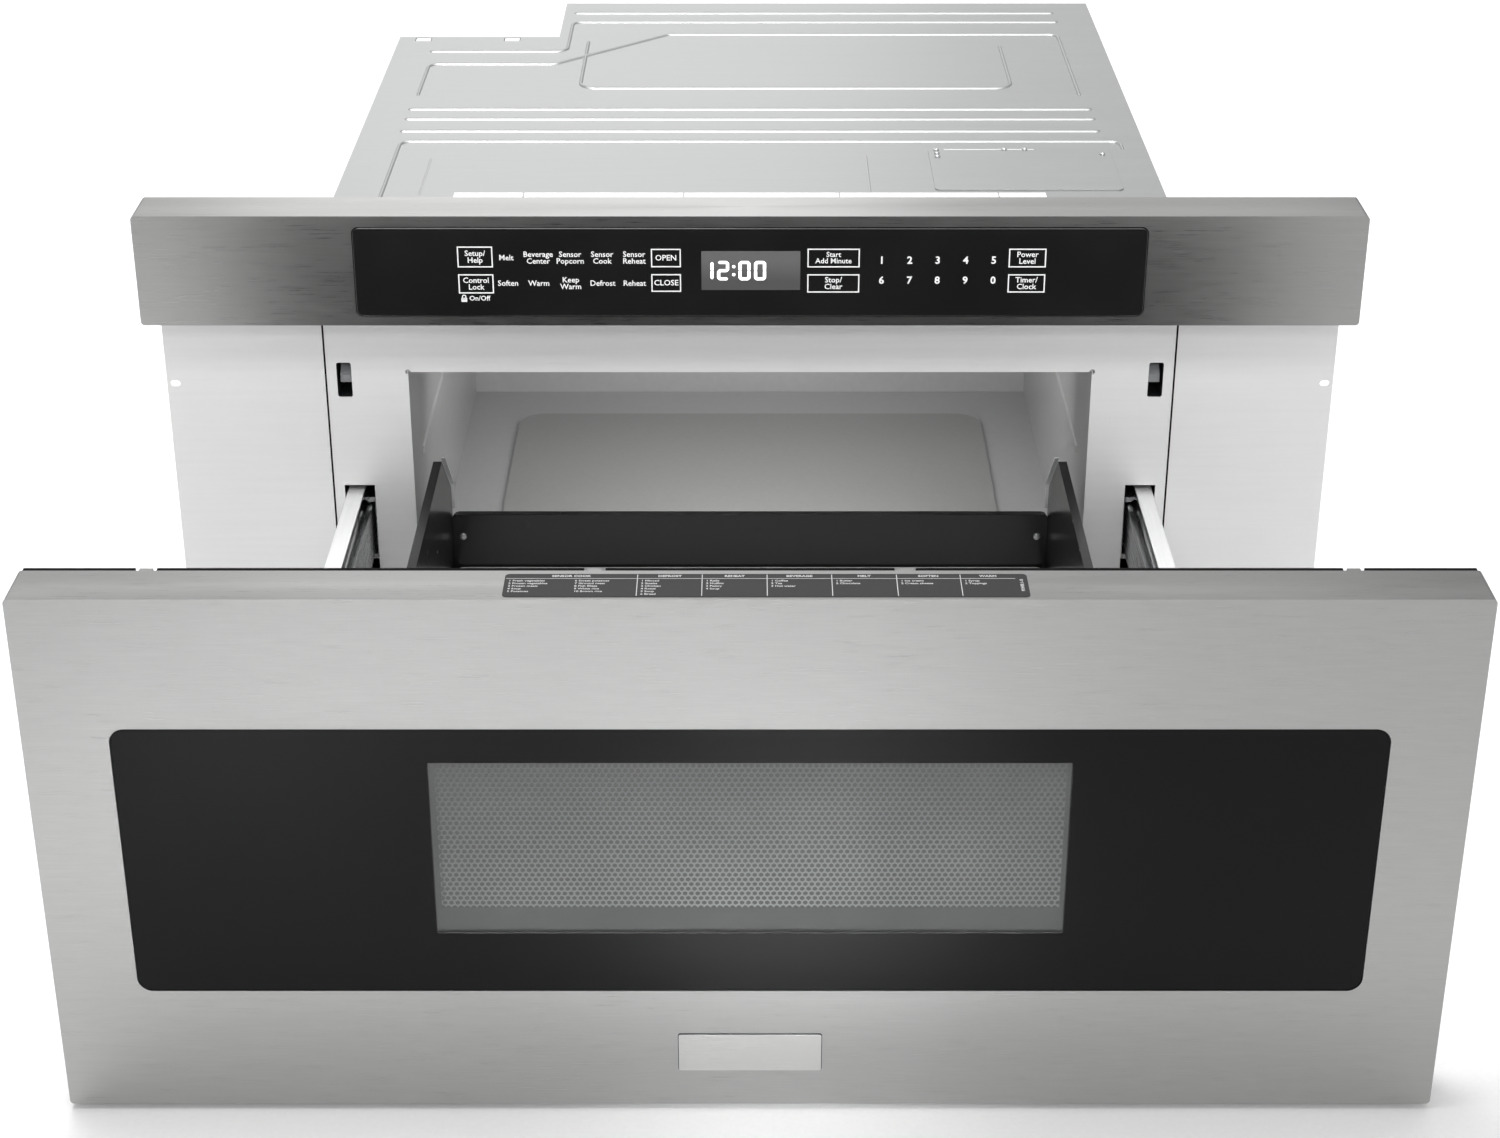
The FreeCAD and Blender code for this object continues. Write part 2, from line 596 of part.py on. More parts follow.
def make_magnetron():
    """Yoke, magnets, finned anode, launcher dome and filter box."""
    y, z = magnetron_y(), GUIDE_TOP + GUIDE_T
    base = box(-46, 46, y - 40, y + 40, z, z + 1.6)
    dome = rod((0, y, z - 22), (0, 0, 1), 8, 22)
    lower_magnet = rod((0, y, z + 1.6), (0, 0, 1), 27, 12)
    anode = rod((0, y, z + 13.6), (0, 0, 1), 20, 44)
    fins = [box(-38, 38, y - 33, y + 33, z + 19 + k * 9, z + 20 + k * 9) for k in range(5)]
    upper_magnet = rod((0, y, z + 57.6), (0, 0, 1), 27, 12)
    yoke_top = box(-46, 46, y - 34, y + 34, z + 69.6, z + 71.2)
    yoke_sides = [box(s * 46 - 0.8, s * 46 + 0.8, y - 34, y + 34, z, z + 71.2) for s in (-1, 1)]
    filter_box = box(-30, 30, y - 26, y + 26, z + 71.2, z + 94)
    terminal = box(30, 42, y - 12, y + 12, z + 76, z + 88)
    core = [base, dome, lower_magnet, anode] + fins + [upper_magnet, yoke_top]
    return [joined(core + yoke_sides + [filter_box, terminal])]


# ---------------------------------------------------------------- electrical units

def make_hv_transformer():
    """Laminated core with two windings and its mounting foot."""
    width, depth, height = TRANSFORMER
    x0, y1 = CASE_X - 40 - width, CASE_REAR - 24
    y0 = y1 - depth
    foot = box(x0 - 8, x0 + width + 8, y0 + 10, y1 - 10, BASE_T, BASE_T + 2)
    core = box(x0, x0 + width, y0 + 14, y1 - 14, BASE_T + 2, BASE_T + height)
    middle = BASE_T + 2 + height / 2
    primary = soft_box(x0 + 14, x0 + width - 14, y0, y1, BASE_T + 14, middle - 3, 8, "z")
    secondary = soft_box(x0 + 14, x0 + width - 14, y0, y1, middle + 3, BASE_T + height - 10, 8, "z")
    return [joined([foot, core, primary, secondary])]


def make_hv_capacitor():
    """Flat oval can lying in a clamp, with the diode on the clamp's foot."""
    width, length, height = CAPACITOR
    x0, y0 = NOTCH_X + 22, CASE_REAR - 24 - length
    can = soft_box(x0, x0 + width, y0, y0 + length, BASE_T + 1.5, BASE_T + 1.5 + height, 14, "y")
    strap = soft_box(
        x0 - 1.2, x0 + width + 1.2, y0 + 34, y0 + 52, BASE_T + 0.3, BASE_T + 2.7 + height, 15, "y"
    )
    foot = box(x0 - 14, x0 + width + 14, y0 + 30, y0 + 56, BASE_T, BASE_T + 1.5)
    terminals = [box(x0 + k, x0 + k + 1, y0 - 8, y0, 30, 36) for k in (10, 22)]
    diode = box(x0 + width + 3, x0 + width + 11, y0 + 34, y0 + 52, BASE_T + 1.5, BASE_T + 10)
    return [joined([can, strap, foot] + terminals), diode]


def make_noise_filter():
    """Mains filter board on four posts behind the cavity."""
    width, height, thick = FILTER_BOARD
    x0, z0, y0 = -150.0, CAVITY_FLOOR + 110, CAVITY_D + CAVITY_T
    board = box(x0, x0 + width, y0 + 6, y0 + 6 + thick, z0, z0 + height)
    posts = []
    for x in (x0 + 5, x0 + width - 5):
        for z in (z0 + 5, z0 + height - 5):
            posts.append(rod((x, y0, z), (0, 1, 0), 3, 6))
    front = y0 + 6 + thick
    choke = rod((x0 + 22, front, z0 + height / 2), (0, 1, 0), 12, 14)
    hole = rod((x0 + 22, front, z0 + height / 2), (0, 1, 0), 5, 15)
    film = box(x0 + 42, x0 + 64, front, front + 14, z0 + 8, z0 + 20)
    fuse = rod((x0 + 44, front + 4, z0 + 34), (1, 0, 0), 3, 20)
    clips = [box(x0 + k, x0 + k + 4, front, front + 4, z0 + 31, z0 + 37) for k in (44, 60)]
    return [joined([board] + posts + [cut(choke, [hole]), film, fuse] + clips)]


def make_oven_lamp():
    """Lamp housing on the cavity roof with the socket and bulb inside it."""
    z, x, y = CAVITY_TOP + CAVITY_T, LAMP_X, LAMP_Y
    shell = box(x - 26, x + 40, y - 20, y + 20, z, z + 38)
    hollow = box(x - 25.2, x + 39.2, y - 19.2, y + 19.2, z - 1, z + 37.2)
    socket = rod((x + 18, y, z + 18), (1, 0, 0), 10, 21.2)
    neck = rod((x + 2, y, z + 18), (1, 0, 0), 6, 16)
    globe = rod((x - 12, y, z + 18), (1, 0, 0), 10, 16)
    globe = globe.makeChamfer(4, [e for e in globe.Edges if len(e.Vertexes) == 1])
    bulb = joined([neck, globe])
    return [joined([cut(shell, [hollow]), socket]), bulb]


# ---------------------------------------------------------------- cooling fan

def make_fan_shroud():
    """Square plate, ring and three-armed spider that carries the motor."""
    rear = CASE_REAR - CASE_T
    outer_r = FAN_R + FAN_TIP + FAN_RING_T
    half = outer_r + 6
    plate = box(FAN_X - half, FAN_X + half, rear - 2, rear, FAN_Z - half, FAN_Z + half)
    ring = rod((FAN_X, rear - FAN_DEPTH, FAN_Z), (0, 1, 0), outer_r, FAN_DEPTH)
    hole = rod((FAN_X, rear - FAN_DEPTH - 1, FAN_Z), (0, 1, 0), FAN_R + FAN_TIP, FAN_DEPTH + 2)
    body = cut(joined([plate, ring]), [hole])
    front = rear - FAN_DEPTH
    hub = rod((FAN_X, front, FAN_Z), (0, 1, 0), FAN_MOTOR_R + 2, 2.5)
    arms = []
    for turn in (90, 210, 330):
        arm = box(0, FAN_R + FAN_TIP + 1, front, front + 2.5, -5, 5)
        arm.rotate(V(0, 0, 0), V(0, 1, 0), turn)
        arms.append(shifted(arm, FAN_X, 0, FAN_Z))
    bearing = rod((FAN_X, front - 1, FAN_Z), (0, 1, 0), 2.5 + FIT, 5)
    return [cut(joined([body, hub] + arms), [bearing])]


def make_fan_motor():
    """Shaded-pole motor on the front of the spider."""
    rear = CASE_REAR - CASE_T - FAN_DEPTH
    front = rear - FAN_MOTOR_L
    core = rod((FAN_X, front + 8, FAN_Z), (0, 1, 0), FAN_MOTOR_R, FAN_MOTOR_L - 16)
    ends = rod((FAN_X, front, FAN_Z), (0, 1, 0), 13, FAN_MOTOR_L)
    coil = box(FAN_X - 16, FAN_X + 16, front + 10, rear - 10, FAN_Z - 44, FAN_Z - 18)
    bore = rod((FAN_X, rear - 18 - FIT, FAN_Z), (0, 1, 0), 2.5 + FIT, 30)
    return [cut(joined([core, ends, coil]), [bore])]


def fan_blade():
    """One twisted blade, lofted from a steep root to a flatter tip."""
    sections = []
    for radius, chord, pitch in ((FAN_HUB_R - 2, 17, 40), (FAN_R, 30, 24)):
        half, thick, turn = chord / 2, 0.8, math.radians(pitch)
        corners = [(-half, -thick), (half, -thick), (half, thick), (-half, thick)]
        points = [
            V(a * math.cos(turn) - b * math.sin(turn), a * math.sin(turn) + b * math.cos(turn), radius)
            for a, b in corners
        ]
        sections.append(Part.makePolygon(points + points[:1]))
    return Part.makeLoft(sections, True, True)


def make_fan_impeller():
    """Hub, shaft and twisted blades."""
    rear = CASE_REAR - CASE_T
    front = rear - FAN_DEPTH + 5
    hub = rod((FAN_X, front, FAN_Z), (0, 1, 0), FAN_HUB_R, 18)
    shaft = rod((FAN_X, rear - FAN_DEPTH - 18, FAN_Z), (0, 1, 0), 2.5, 26)
    blades = []
    for k in range(BLADE_COUNT):
        blade = fan_blade()
        blade.rotate(V(0, 0, 0), V(0, 1, 0), k * 360 / BLADE_COUNT)
        blades.append(shifted(blade, FAN_X, front + 9, FAN_Z))
    return [joined([hub, shaft] + blades)]


# ---------------------------------------------------------------- control fascia

def make_fascia():
    """Steel fascia: folded tray with the control opening and lips that meet the flange."""
    x = FRONT_X
    block = soft_box(-x, x, -FRONT_D, 0, FASCIA_BOTTOM, FASCIA_TOP, 2.5, "y")
    t = SKIN_T
    inner = box(-x + t, x - t, -FRONT_D + t, -t, FASCIA_BOTTOM + t, FASCIA_TOP - t)
    lip = 9.0
    mouth = box(-x + lip, x - lip, -t - 1, 1, FASCIA_BOTTOM + t, FASCIA_TOP - t - lip)
    g = GLASS_GAP
    window = soft_box(
        -PANEL_X - g, PANEL_X + g, -FRONT_D - 1, -FRONT_D + t + 1,
        PANEL_Z0 - g, PANEL_Z1 + g, PANEL_R + g, "y"
    )
    return [cut(block, [inner, mouth, window])]


def make_control_glass():
    y0 = -FRONT_D - PANEL_PROUD
    glass = soft_box(-PANEL_X, PANEL_X, y0, y0 + PANEL_T, PANEL_Z0, PANEL_Z1, PANEL_R, "y")
    rim = [e for e in glass.Edges if abs(e.CenterOfMass.y - y0) < 1e-6]
    return [glass.makeChamfer(0.6, rim)]


def make_control_carrier():
    """Moulded tray behind the fascia: seats the glass and holds the board on posts."""
    x, z0, z1 = PANEL_X + 5, FASCIA_BOTTOM + SKIN_T + 0.6, FASCIA_TOP - SKIN_T - 0.6
    front, rear = -FRONT_D + SKIN_T, -9.6
    wall = 2.4
    shell = box(-x, x, front, rear, z0, z1)
    hollow = box(-x + wall, x - wall, front + 5, rear + 1, z0 + wall, z1 - wall)
    y_glass = -FRONT_D - PANEL_PROUD + PANEL_T
    seat = box(-PANEL_X - 0.5, PANEL_X + 0.5, front - 1, y_glass, PANEL_Z0 - 0.5, PANEL_Z1 + 0.5)
    middle = (PANEL_Z0 + PANEL_Z1) / 2
    display = box(
        -DISPLAY_W / 2 - 2, DISPLAY_W / 2 + 2, front - 1, front + 6,
        middle - DISPLAY_H / 2 - 2, middle + DISPLAY_H / 2 + 2
    )
    posts = []
    for px in (-PANEL_X + 30, -80, 80, PANEL_X - 30):
        posts.append(rod((px, front + 4, z0 + 12), (0, 1, 0), 3.5, 11))
    return [joined([cut(shell, [hollow, seat, display])] + posts)]


def make_control_board():
    """Printed board with relays and transformer behind, and the display module in front."""
    y0 = -FRONT_D + SKIN_T + 15
    z0, z1 = FASCIA_BOTTOM + 5, FASCIA_TOP - 7
    board = box(-PANEL_X + 20, PANEL_X - 20, y0, y0 + 1.6, z0, z1)
    units = []
    for x in (-190, -160, -130, 120, 150):
        units.append(box(x, x + 20, y0 + 1.6, y0 + 14, z0 + 8, z0 + 30))
    units.append(box(-60, -20, y0 + 1.6, y0 + 16, z0 + 10, z0 + 44))
    units.append(rod((60, y0 + 1.6, z0 + 20), (0, 1, 0), 8, 14))
    units.append(rod((84, y0 + 1.6, z0 + 20), (0, 1, 0), 6, 12))
    middle = (PANEL_Z0 + PANEL_Z1) / 2
    half_w, half_h = DISPLAY_W / 2, DISPLAY_H / 2
    y_glass = -FRONT_D - PANEL_PROUD + PANEL_T
    display = box(-half_w, half_w, y_glass + 0.3, y0, middle - half_h, middle + half_h)
    return [joined([board] + units), display]


# ---------------------------------------------------------------- latches

def latch_block():
    """Right-hand latch housing: a block with a channel behind the slot and the lever's pin."""
    x0, x1 = LATCH_X - 9.5, SIDE_IN_X - FIT
    z0, z1 = LATCH_SLOT_Z - 8, LATCH_SLOT_Z + 35
    block = box(x0, x1, FLANGE_T, 50, z0, z1)
    half = LATCH_SLOT_W / 2 + 0.5
    channel = box(LATCH_X - half, LATCH_X + half, 0, 44, LATCH_SLOT_Z - 4, LATCH_SLOT_Z + 29)
    pin = rod((LATCH_X - half, *lever_pivot()), (1, 0, 0), LEVER_PIN_R, 2 * half)
    return joined([cut(block, [channel]), pin])


def lever_pivot():
    """Y and Z of the lever's pin."""
    return 35.0, LATCH_SLOT_Z + 20


def make_latch_lever(side):
    """Bell-crank lever hanging from its pin down to the striker's path."""
    y, z = lever_pivot()
    tip_z = striker_z() + STRIKER_H + 0.6
    x0, x1 = side * LATCH_X - LEVER_W / 2, side * LATCH_X + LEVER_W / 2
    arm = [(y - 1, z - 4), (y, z + 4), (13, z - 2), (7, tip_z + 5), (7, tip_z), (13, tip_z)]
    boss = rod((x0, y, z), (1, 0, 0), 4.2, LEVER_W)
    bore = rod((x0 - 1, y, z), (1, 0, 0), LEVER_PIN_R + LEVER_PLAY, LEVER_W + 2)
    return [cut(joined([prism(arm, "yz", x0, x1), boss]), [bore])]


def striker_z():
    """Underside of the striker, low in the latch slot."""
    return LATCH_SLOT_Z + 1.6


def striker():
    """Right-hand striker, shut: a bar with a tapered nose on the seal cover."""
    x0, z0 = LATCH_X - STRIKER_W / 2, striker_z()
    z1, y0, y1 = z0 + STRIKER_H, SEAL_REAR, SEAL_REAR + STRIKER_L
    side = [(y0, z0), (y1 - 4, z0), (y1, z0 + 1.5), (y1, z1 - 1.5), (y1 - 4, z1), (y0, z1)]
    return prism(side, "yz", x0, x0 + STRIKER_W)


def interlock_switches():
    """Two stacked microswitches on the inboard face of the right-hand latch housing."""
    x1 = LATCH_X - 9.5
    switches = []
    for z in (LATCH_SLOT_Z - 4, LATCH_SLOT_Z + 9):
        body = box(x1 - 10, x1, 12, 40, z, z + 12)
        tags = [box(x1 - 7, x1 - 3, 40, 46, z + k, z + k + 0.8) for k in (3, 8)]
        switches.append(joined([body] + tags))
    return switches


# ---------------------------------------------------------------- telescopic slides

def slide_section(points, races):
    """Rolled member of the right-hand slide: polygon in (a, b) less the round races."""
    place = [V(SLIDE_X + a, SLIDE_FRONT, SLIDE_Z + b) for a, b in points]
    bar = Part.Face(Part.makePolygon(place + place[:1])).extrude(V(0, SLIDE_L, 0))
    grooves = []
    for b in races:
        for sign in (-1, 1):
            start = (SLIDE_X + BALL_A, SLIDE_FRONT - 1, SLIDE_Z + sign * b)
            grooves.append(rod(start, (0, 1, 0), RACE_R, SLIDE_L + 2))
    return cut(bar, grooves)


def channel_points(web0, web1, end, outer, inner):
    """Channel section: the web from web0 to web1, flanges reaching to end."""
    face = web1 if end > web0 else web0
    back = web0 if end > web0 else web1
    return [
        (back, -outer), (end, -outer), (end, -inner), (face, -inner),
        (face, inner), (end, inner), (end, outer), (back, outer),
    ]


def slide_cabinet_member():
    points = channel_points(0, RAIL_T, CABINET_END_A, RAIL_HALF, OUTER_BALL_B + LAND)
    member = slide_section(points, [OUTER_BALL_B])
    holes = []
    for k in range(RAIL_HOLES):
        y = SLIDE_FRONT + SLIDE_L * (k + 0.5) / RAIL_HOLES
        holes.append(rod((SLIDE_X - 1, y, SLIDE_Z), (1, 0, 0), RAIL_HOLE_R, RAIL_T + 2))
    return cut(member, holes)


def slide_middle_member():
    outer, inner = OUTER_BALL_B - LAND, INNER_BALL_B + LAND
    points = channel_points(MID_WEB_A, MID_WEB_A + RAIL_T, MID_END_A, outer, inner)
    return slide_section(points, [OUTER_BALL_B, INNER_BALL_B])


def slide_drawer_member():
    outer = INNER_BALL_B - LAND
    inner = INNER_BALL_B - RACE_R - RACE_BACK
    end = INNER_CAGE_A + CAGE_T + 0.6
    points = channel_points(DRAWER_WEB_A, SLIDE_THICK, end, outer, inner)
    return slide_section(points, [INNER_BALL_B])


def ball(x, y, z):
    """Steel ball turned from a profile with few corners, because it is repeated so often."""
    steps = [math.radians(30 * k - 90) for k in range(7)]
    profile = [V(x + BALL_R * math.cos(t), y, z + BALL_R * math.sin(t)) for t in steps]
    return Part.Face(Part.makePolygon(profile + profile[:1])).revolve(V(x, y, z), V(0, 0, 1), 360)


def ball_cage(web_a, ball_b):
    """Bent strip that spaces two rows of balls, shown where it lies with the drawer shut."""
    x0, x1 = SLIDE_X + web_a, SLIDE_X + CAGE_END_A
    y0 = SLIDE_FRONT + (SLIDE_L - CAGE_L) / 2
    half = ball_b + CAGE_LEG / 2
    strip = box(x0, x1, y0, y0 + CAGE_L, SLIDE_Z - half, SLIDE_Z + half)
    inner = ball_b - CAGE_LEG / 2
    hollow = box(x0 + CAGE_T, x1 + 1, y0 - 1, y0 + CAGE_L + 1, SLIDE_Z - inner, SLIDE_Z + inner)
    holes, balls = [], []
    pitch = CAGE_L / BALLS_PER_ROW
    for k in range(BALLS_PER_ROW):
        y = y0 + pitch * (k + 0.5)
        holes.append(rod((SLIDE_X + BALL_A, y, SLIDE_Z - half - 1), (0, 0, 1), HOLE_R, 2 * half + 2))
        for sign in (-1, 1):
            balls.append(ball(SLIDE_X + BALL_A, y, SLIDE_Z + sign * ball_b))
    return [cut(strip, [hollow] + holes)] + balls


def slide_support():
    """Upright plate from base to slide: carries the cabinet member and the shaft's bush."""
    x1 = SLIDE_X
    x0 = x1 - SUPPORT_T
    y0, y1 = FLANGE_T, SLIDE_REAR
    plate = box(x0, x1, y0, y1, BASE_T, SLIDE_Z + RAIL_HALF)
    foot = box(x1 - 13, x1, y0, y1, BASE_T, BASE_T + SUPPORT_T)
    bush = rod((x0 - 1, SHAFT_Y, SHAFT_Z), (1, 0, 0), SHAFT_R + BUSH_WALL, SUPPORT_T + 2)
    windows = [bush]
    for k in range(3):
        a = 80 + k * 105
        b = min(a + 80, y1 - 15)
        windows.append(soft_box(x0 - 1, x1 + 1, a, b, BASE_T + 25, SLIDE_Z - RAIL_HALF - 12, 8, "x"))
    return cut(joined([plate, foot]), windows)


def slide_carrier():
    """Bright folded carrier that hangs the drawer front on the slide, shut."""
    x0, x1 = CARRIER_X, CARRIER_X + CARRIER_T
    y0, y1 = panel_rear(), SLIDE_REAR
    z0 = RACK_ROOT_Z + 1.0
    web = box(x0, x1, y0, y1, z0, CARRIER_TOP)
    cap = box(x1 - CARRIER_CAP, x1, y0, y1, CARRIER_TOP - CARRIER_T, CARRIER_TOP)
    foot = box(x1 - CARRIER_CAP - 4, x1, y0, y0 + CARRIER_T, SLIDE_Z - 10, CARRIER_TOP)
    body = joined([web, cap, foot])
    bend = [
        e for e in body.Edges
        if abs(e.CenterOfMass.x - x1) < 1e-6 and abs(e.CenterOfMass.z - CARRIER_TOP) < 1e-6
        and e.Length > SLIDE_L / 2
    ]
    return body.makeFillet(CARRIER_T * 0.9, bend)


# ---------------------------------------------------------------- rack drive

def rack():
    """Right-hand rack, shut: straight-sided teeth downwards, in mesh over the whole travel."""
    pitch = math.pi * MODULE
    slope = math.tan(math.radians(PRESSURE_ANGLE))
    half = pitch / 4 - BACKLASH / 2
    tip_z, root_z = RACK_PITCH_Z - MODULE, RACK_ROOT_Z
    tip_half = half - MODULE * slope
    root_half = half + 1.25 * MODULE * slope
    margin = 3
    first = -margin
    last = int(math.ceil(TRAVEL / pitch)) + margin - 1
    outline = []
    for k in range(first, last + 1):
        # teeth stand half a pitch off the shaft's centre line when the drawer is open
        y = SHAFT_Y + TRAVEL - (k + 0.5) * pitch
        outline += [(y + root_half, root_z), (y + tip_half, tip_z)]
        outline += [(y - tip_half, tip_z), (y - root_half, root_z)]
    y_rear = outline[0][0] + 2
    y_front = outline[-1][0] - 2
    points = [(y_rear, root_z)] + outline + [(y_front, root_z)]
    points += [(y_front, root_z + RACK_BACK), (y_rear, root_z + RACK_BACK)]
    return prism(points, "yz", CARRIER_X - RACK_W, CARRIER_X)


def gear(teeth, centre, x0, width, towards, bore, gap_there=False):
    """Involute spur gear on an X axis; a tooth (or a gap) points along the angle towards."""
    pitch_r = MODULE * teeth / 2
    angle = math.radians(PRESSURE_ANGLE)
    base_r = pitch_r * math.cos(angle)
    root_r, tip_r = pitch_r - 1.25 * MODULE, pitch_r + MODULE
    half_pitch = math.pi / (2 * teeth) - BACKLASH / (4 * pitch_r)
    involute_pitch = math.tan(angle) - angle

    def half_at(radius):
        lean = math.acos(min(base_r / radius, 1.0))
        return half_pitch + involute_pitch - (math.tan(lean) - lean)

    start_r = max(base_r, root_r)
    radii = [start_r + (tip_r - start_r) * k / 2 for k in range(3)]
    flank = [(root_r, half_at(start_r))] if root_r < start_r else []
    flank += [(r, half_at(r)) for r in radii]
    turn = math.radians(towards) + (math.pi / teeth if gap_there else 0)
    points = []
    for k in range(teeth):
        middle = turn + 2 * math.pi * k / teeth
        for r, half in flank:
            angle = middle - half
            points.append((centre[0] + r * math.cos(angle), centre[1] + r * math.sin(angle)))
        for r, half in reversed(flank):
            angle = middle + half
            points.append((centre[0] + r * math.cos(angle), centre[1] + r * math.sin(angle)))
    blank = prism(points, "yz", x0, x0 + width)
    if bore:
        blank = cut(blank, [rod((x0 - 1, centre[0], centre[1]), (1, 0, 0), bore, width + 2)])
    return blank


def motor_gear_centre():
    reach = DRIVEN_R + MOTOR_GEAR_R
    turn = math.radians(MESH_ANGLE)
    return SHAFT_Y + reach * math.cos(turn), SHAFT_Z + reach * math.sin(turn)


def driven_gear_x():
    """Inboard face of the gear pair, between the cavity and the slide support."""
    return SLIDE_X - SUPPORT_T - 4.6 - GEAR_W


def make_drive_shaft():
    reach = CARRIER_X - 0.4
    bar = rod((-reach, SHAFT_Y, SHAFT_Z), (1, 0, 0), SHAFT_R, 2 * reach)
    ends = [e for e in bar.Edges if e.Length < 2 * math.pi * SHAFT_R + 1 and len(e.Vertexes) == 1]
    return [bar.makeChamfer(0.6, ends)]


def make_drive_gears():
    """Both pinions and the gear that turns them."""
    bore = SHAFT_R + 0.03
    x0 = CARRIER_X - RACK_W / 2 - GEAR_W / 2
    centre = (SHAFT_Y, SHAFT_Z)
    right = gear(PINION_TEETH, centre, x0, GEAR_W, 90, bore)
    left = gear(PINION_TEETH, centre, -x0 - GEAR_W, GEAR_W, 90, bore)
    driven = gear(DRIVEN_TEETH, centre, driven_gear_x(), GEAR_W, MESH_ANGLE, bore)
    return [left, right, driven]


def make_motor_gear():
    """Motor gear with its stub shaft."""
    y, z = motor_gear_centre()
    x0 = driven_gear_x()
    wheel = gear(MOTOR_TEETH, (y, z), x0, GEAR_W, MESH_ANGLE + 180, 0, gap_there=True)
    stub = rod((x0 - 14, y, z), (1, 0, 0), 3, 14 + GEAR_W)
    return [joined([wheel, stub])]


def make_drive_motor():
    """Gearbox standing on the base beside the gear pair, with the motor behind it."""
    y, z = motor_gear_centre()
    x1 = driven_gear_x() - 1
    x0 = x1 - 30
    top = SHAFT_Z - SHAFT_R + 1
    front = SHAFT_Y + SHAFT_R + 3
    case = soft_box(x0, x1, front, y + 26, BASE_T, top, 5, "x")
    foot = box(x0 - 6, x1, front, y + 36, BASE_T, BASE_T + 2.5)
    motor_z = BASE_T + 2.5 + 20
    motor = rod((x0 - 52, y + 2, motor_z), (1, 0, 0), 18, 52)
    nose = rod((x0 - 58, y + 2, motor_z), (1, 0, 0), 6, 6)
    bore = rod((x1 - 13 - FIT, y, z), (1, 0, 0), 3 + FIT, 20)
    return [cut(joined([case, foot, motor, nose]), [bore])]


def shaft_bush():
    """Right-hand flanged bush of the cross shaft."""
    x1 = SLIDE_X + 2
    barrel = rod((x1 - BUSH_L, SHAFT_Y, SHAFT_Z), (1, 0, 0), SHAFT_R + BUSH_WALL - FIT, BUSH_L)
    collar = rod((SLIDE_X, SHAFT_Y, SHAFT_Z), (1, 0, 0), SHAFT_R + BUSH_WALL + 2, 2)
    bore = rod((x1 - BUSH_L - 1, SHAFT_Y, SHAFT_Z), (1, 0, 0), SHAFT_R + BUSH_PLAY, BUSH_L + 2)
    return cut(joined([barrel, collar]), [bore])


# ---------------------------------------------------------------- drawer

def panel_rear():
    """Rear face of the choke panel's plate, shut."""
    return -FRONT_D + 0.3 + GLASS_T + 0.3 + 1.0


def make_drawer_skin():
    """Stainless wrap of the drawer front: tray with a glass opening and four top tabs."""
    x, z0, z1 = FRONT_X, DRAWER_LIFT, DRAWER_TOP
    block = soft_box(-x, x, -FRONT_D, SKIN_REAR, z0, z1, 2.5, "y")
    t, lip = SKIN_T, 10.0
    inner = box(-x + t, x - t, -FRONT_D + t, SKIN_REAR - t, z0 + t, z1 - t)
    mouth = box(-x + lip, x - lip, SKIN_REAR - t - 1, SKIN_REAR + 1, z0 + lip, z1 - lip)
    g = GLASS_GAP
    window = soft_box(
        -GLASS_X - g, GLASS_X + g, -FRONT_D - 1, -FRONT_D + t + 1,
        GLASS_Z0 - g, GLASS_Z1 + g, GLASS_R + g, "y"
    )
    tabs = []
    for side in (-1, 1):
        for k in (0, 1):
            middle = side * (FRONT_X - TAB_INSET - k * TAB_PITCH)
            x0, x1 = middle - TAB_W / 2, middle + TAB_W / 2
            tabs.append(box(x0, x1, SKIN_REAR, SEAL_REAR - 0.4, z1 - t, z1))
    return [joined([cut(block, [inner, mouth, window])] + tabs)]


def make_drawer_glass():
    y0 = -FRONT_D + 0.3
    glass = soft_box(-GLASS_X, GLASS_X, y0, y0 + GLASS_T, GLASS_Z0, GLASS_Z1, GLASS_R, "y")
    rim = [e for e in glass.Edges if abs(e.CenterOfMass.y - y0) < 1e-6]
    return [glass.makeChamfer(0.5, rim)]


def make_choke_panel():
    """Pressed inner panel: mesh window, rim, and the slotted choke wall round the mouth."""
    rear = panel_rear()
    front = rear - 1.0
    margin = SKIN_T + 0.5
    x, z0, z1 = FRONT_X - margin, DRAWER_LIFT + margin, DRAWER_TOP - margin
    depth = SKIN_REAR - SKIN_T - 0.3
    rim = cut(box(-x, x, front, depth, z0, z1), [box(-x + 1, x - 1, front - 1, depth + 1, z0 + 1, z1 - 1)])
    plate = box(-x, x, front, rear, z0, z1)
    mesh_z1 = GLASS_Z1 - MESH_TOP
    mesh = box(-MESH_W / 2, MESH_W / 2, front - 1, front + 0.4, mesh_z1 - MESH_H, mesh_z1)
    wall_x, low, high = CAVITY_X + 10, CAVITY_FLOOR - 12, CAVITY_TOP + 12
    outer = box(-wall_x, wall_x, rear, depth - 3, low, high)
    hollow = box(-wall_x + 1, wall_x - 1, rear - 1, depth, low + 1, high - 1)
    lip_out = box(-wall_x, wall_x, depth - 4, depth - 3, low, high)
    lip_in = box(-wall_x + 12, wall_x - 12, depth - 5, depth, low + 12, high - 12)
    choke = joined([cut(outer, [hollow]), cut(lip_out, [lip_in])])
    slits = []
    count = 14
    for k in range(count):
        sx = -wall_x + 20 + k * (2 * wall_x - 40) / (count - 1)
        slits.append(box(sx - 1.5, sx + 1.5, rear + 5, depth, high - 14, high + 1))
        slits.append(box(sx - 1.5, sx + 1.5, rear + 5, depth, low - 1, low + 14))
    return [cut(joined([plate, rim, choke]), [mesh] + slits)]


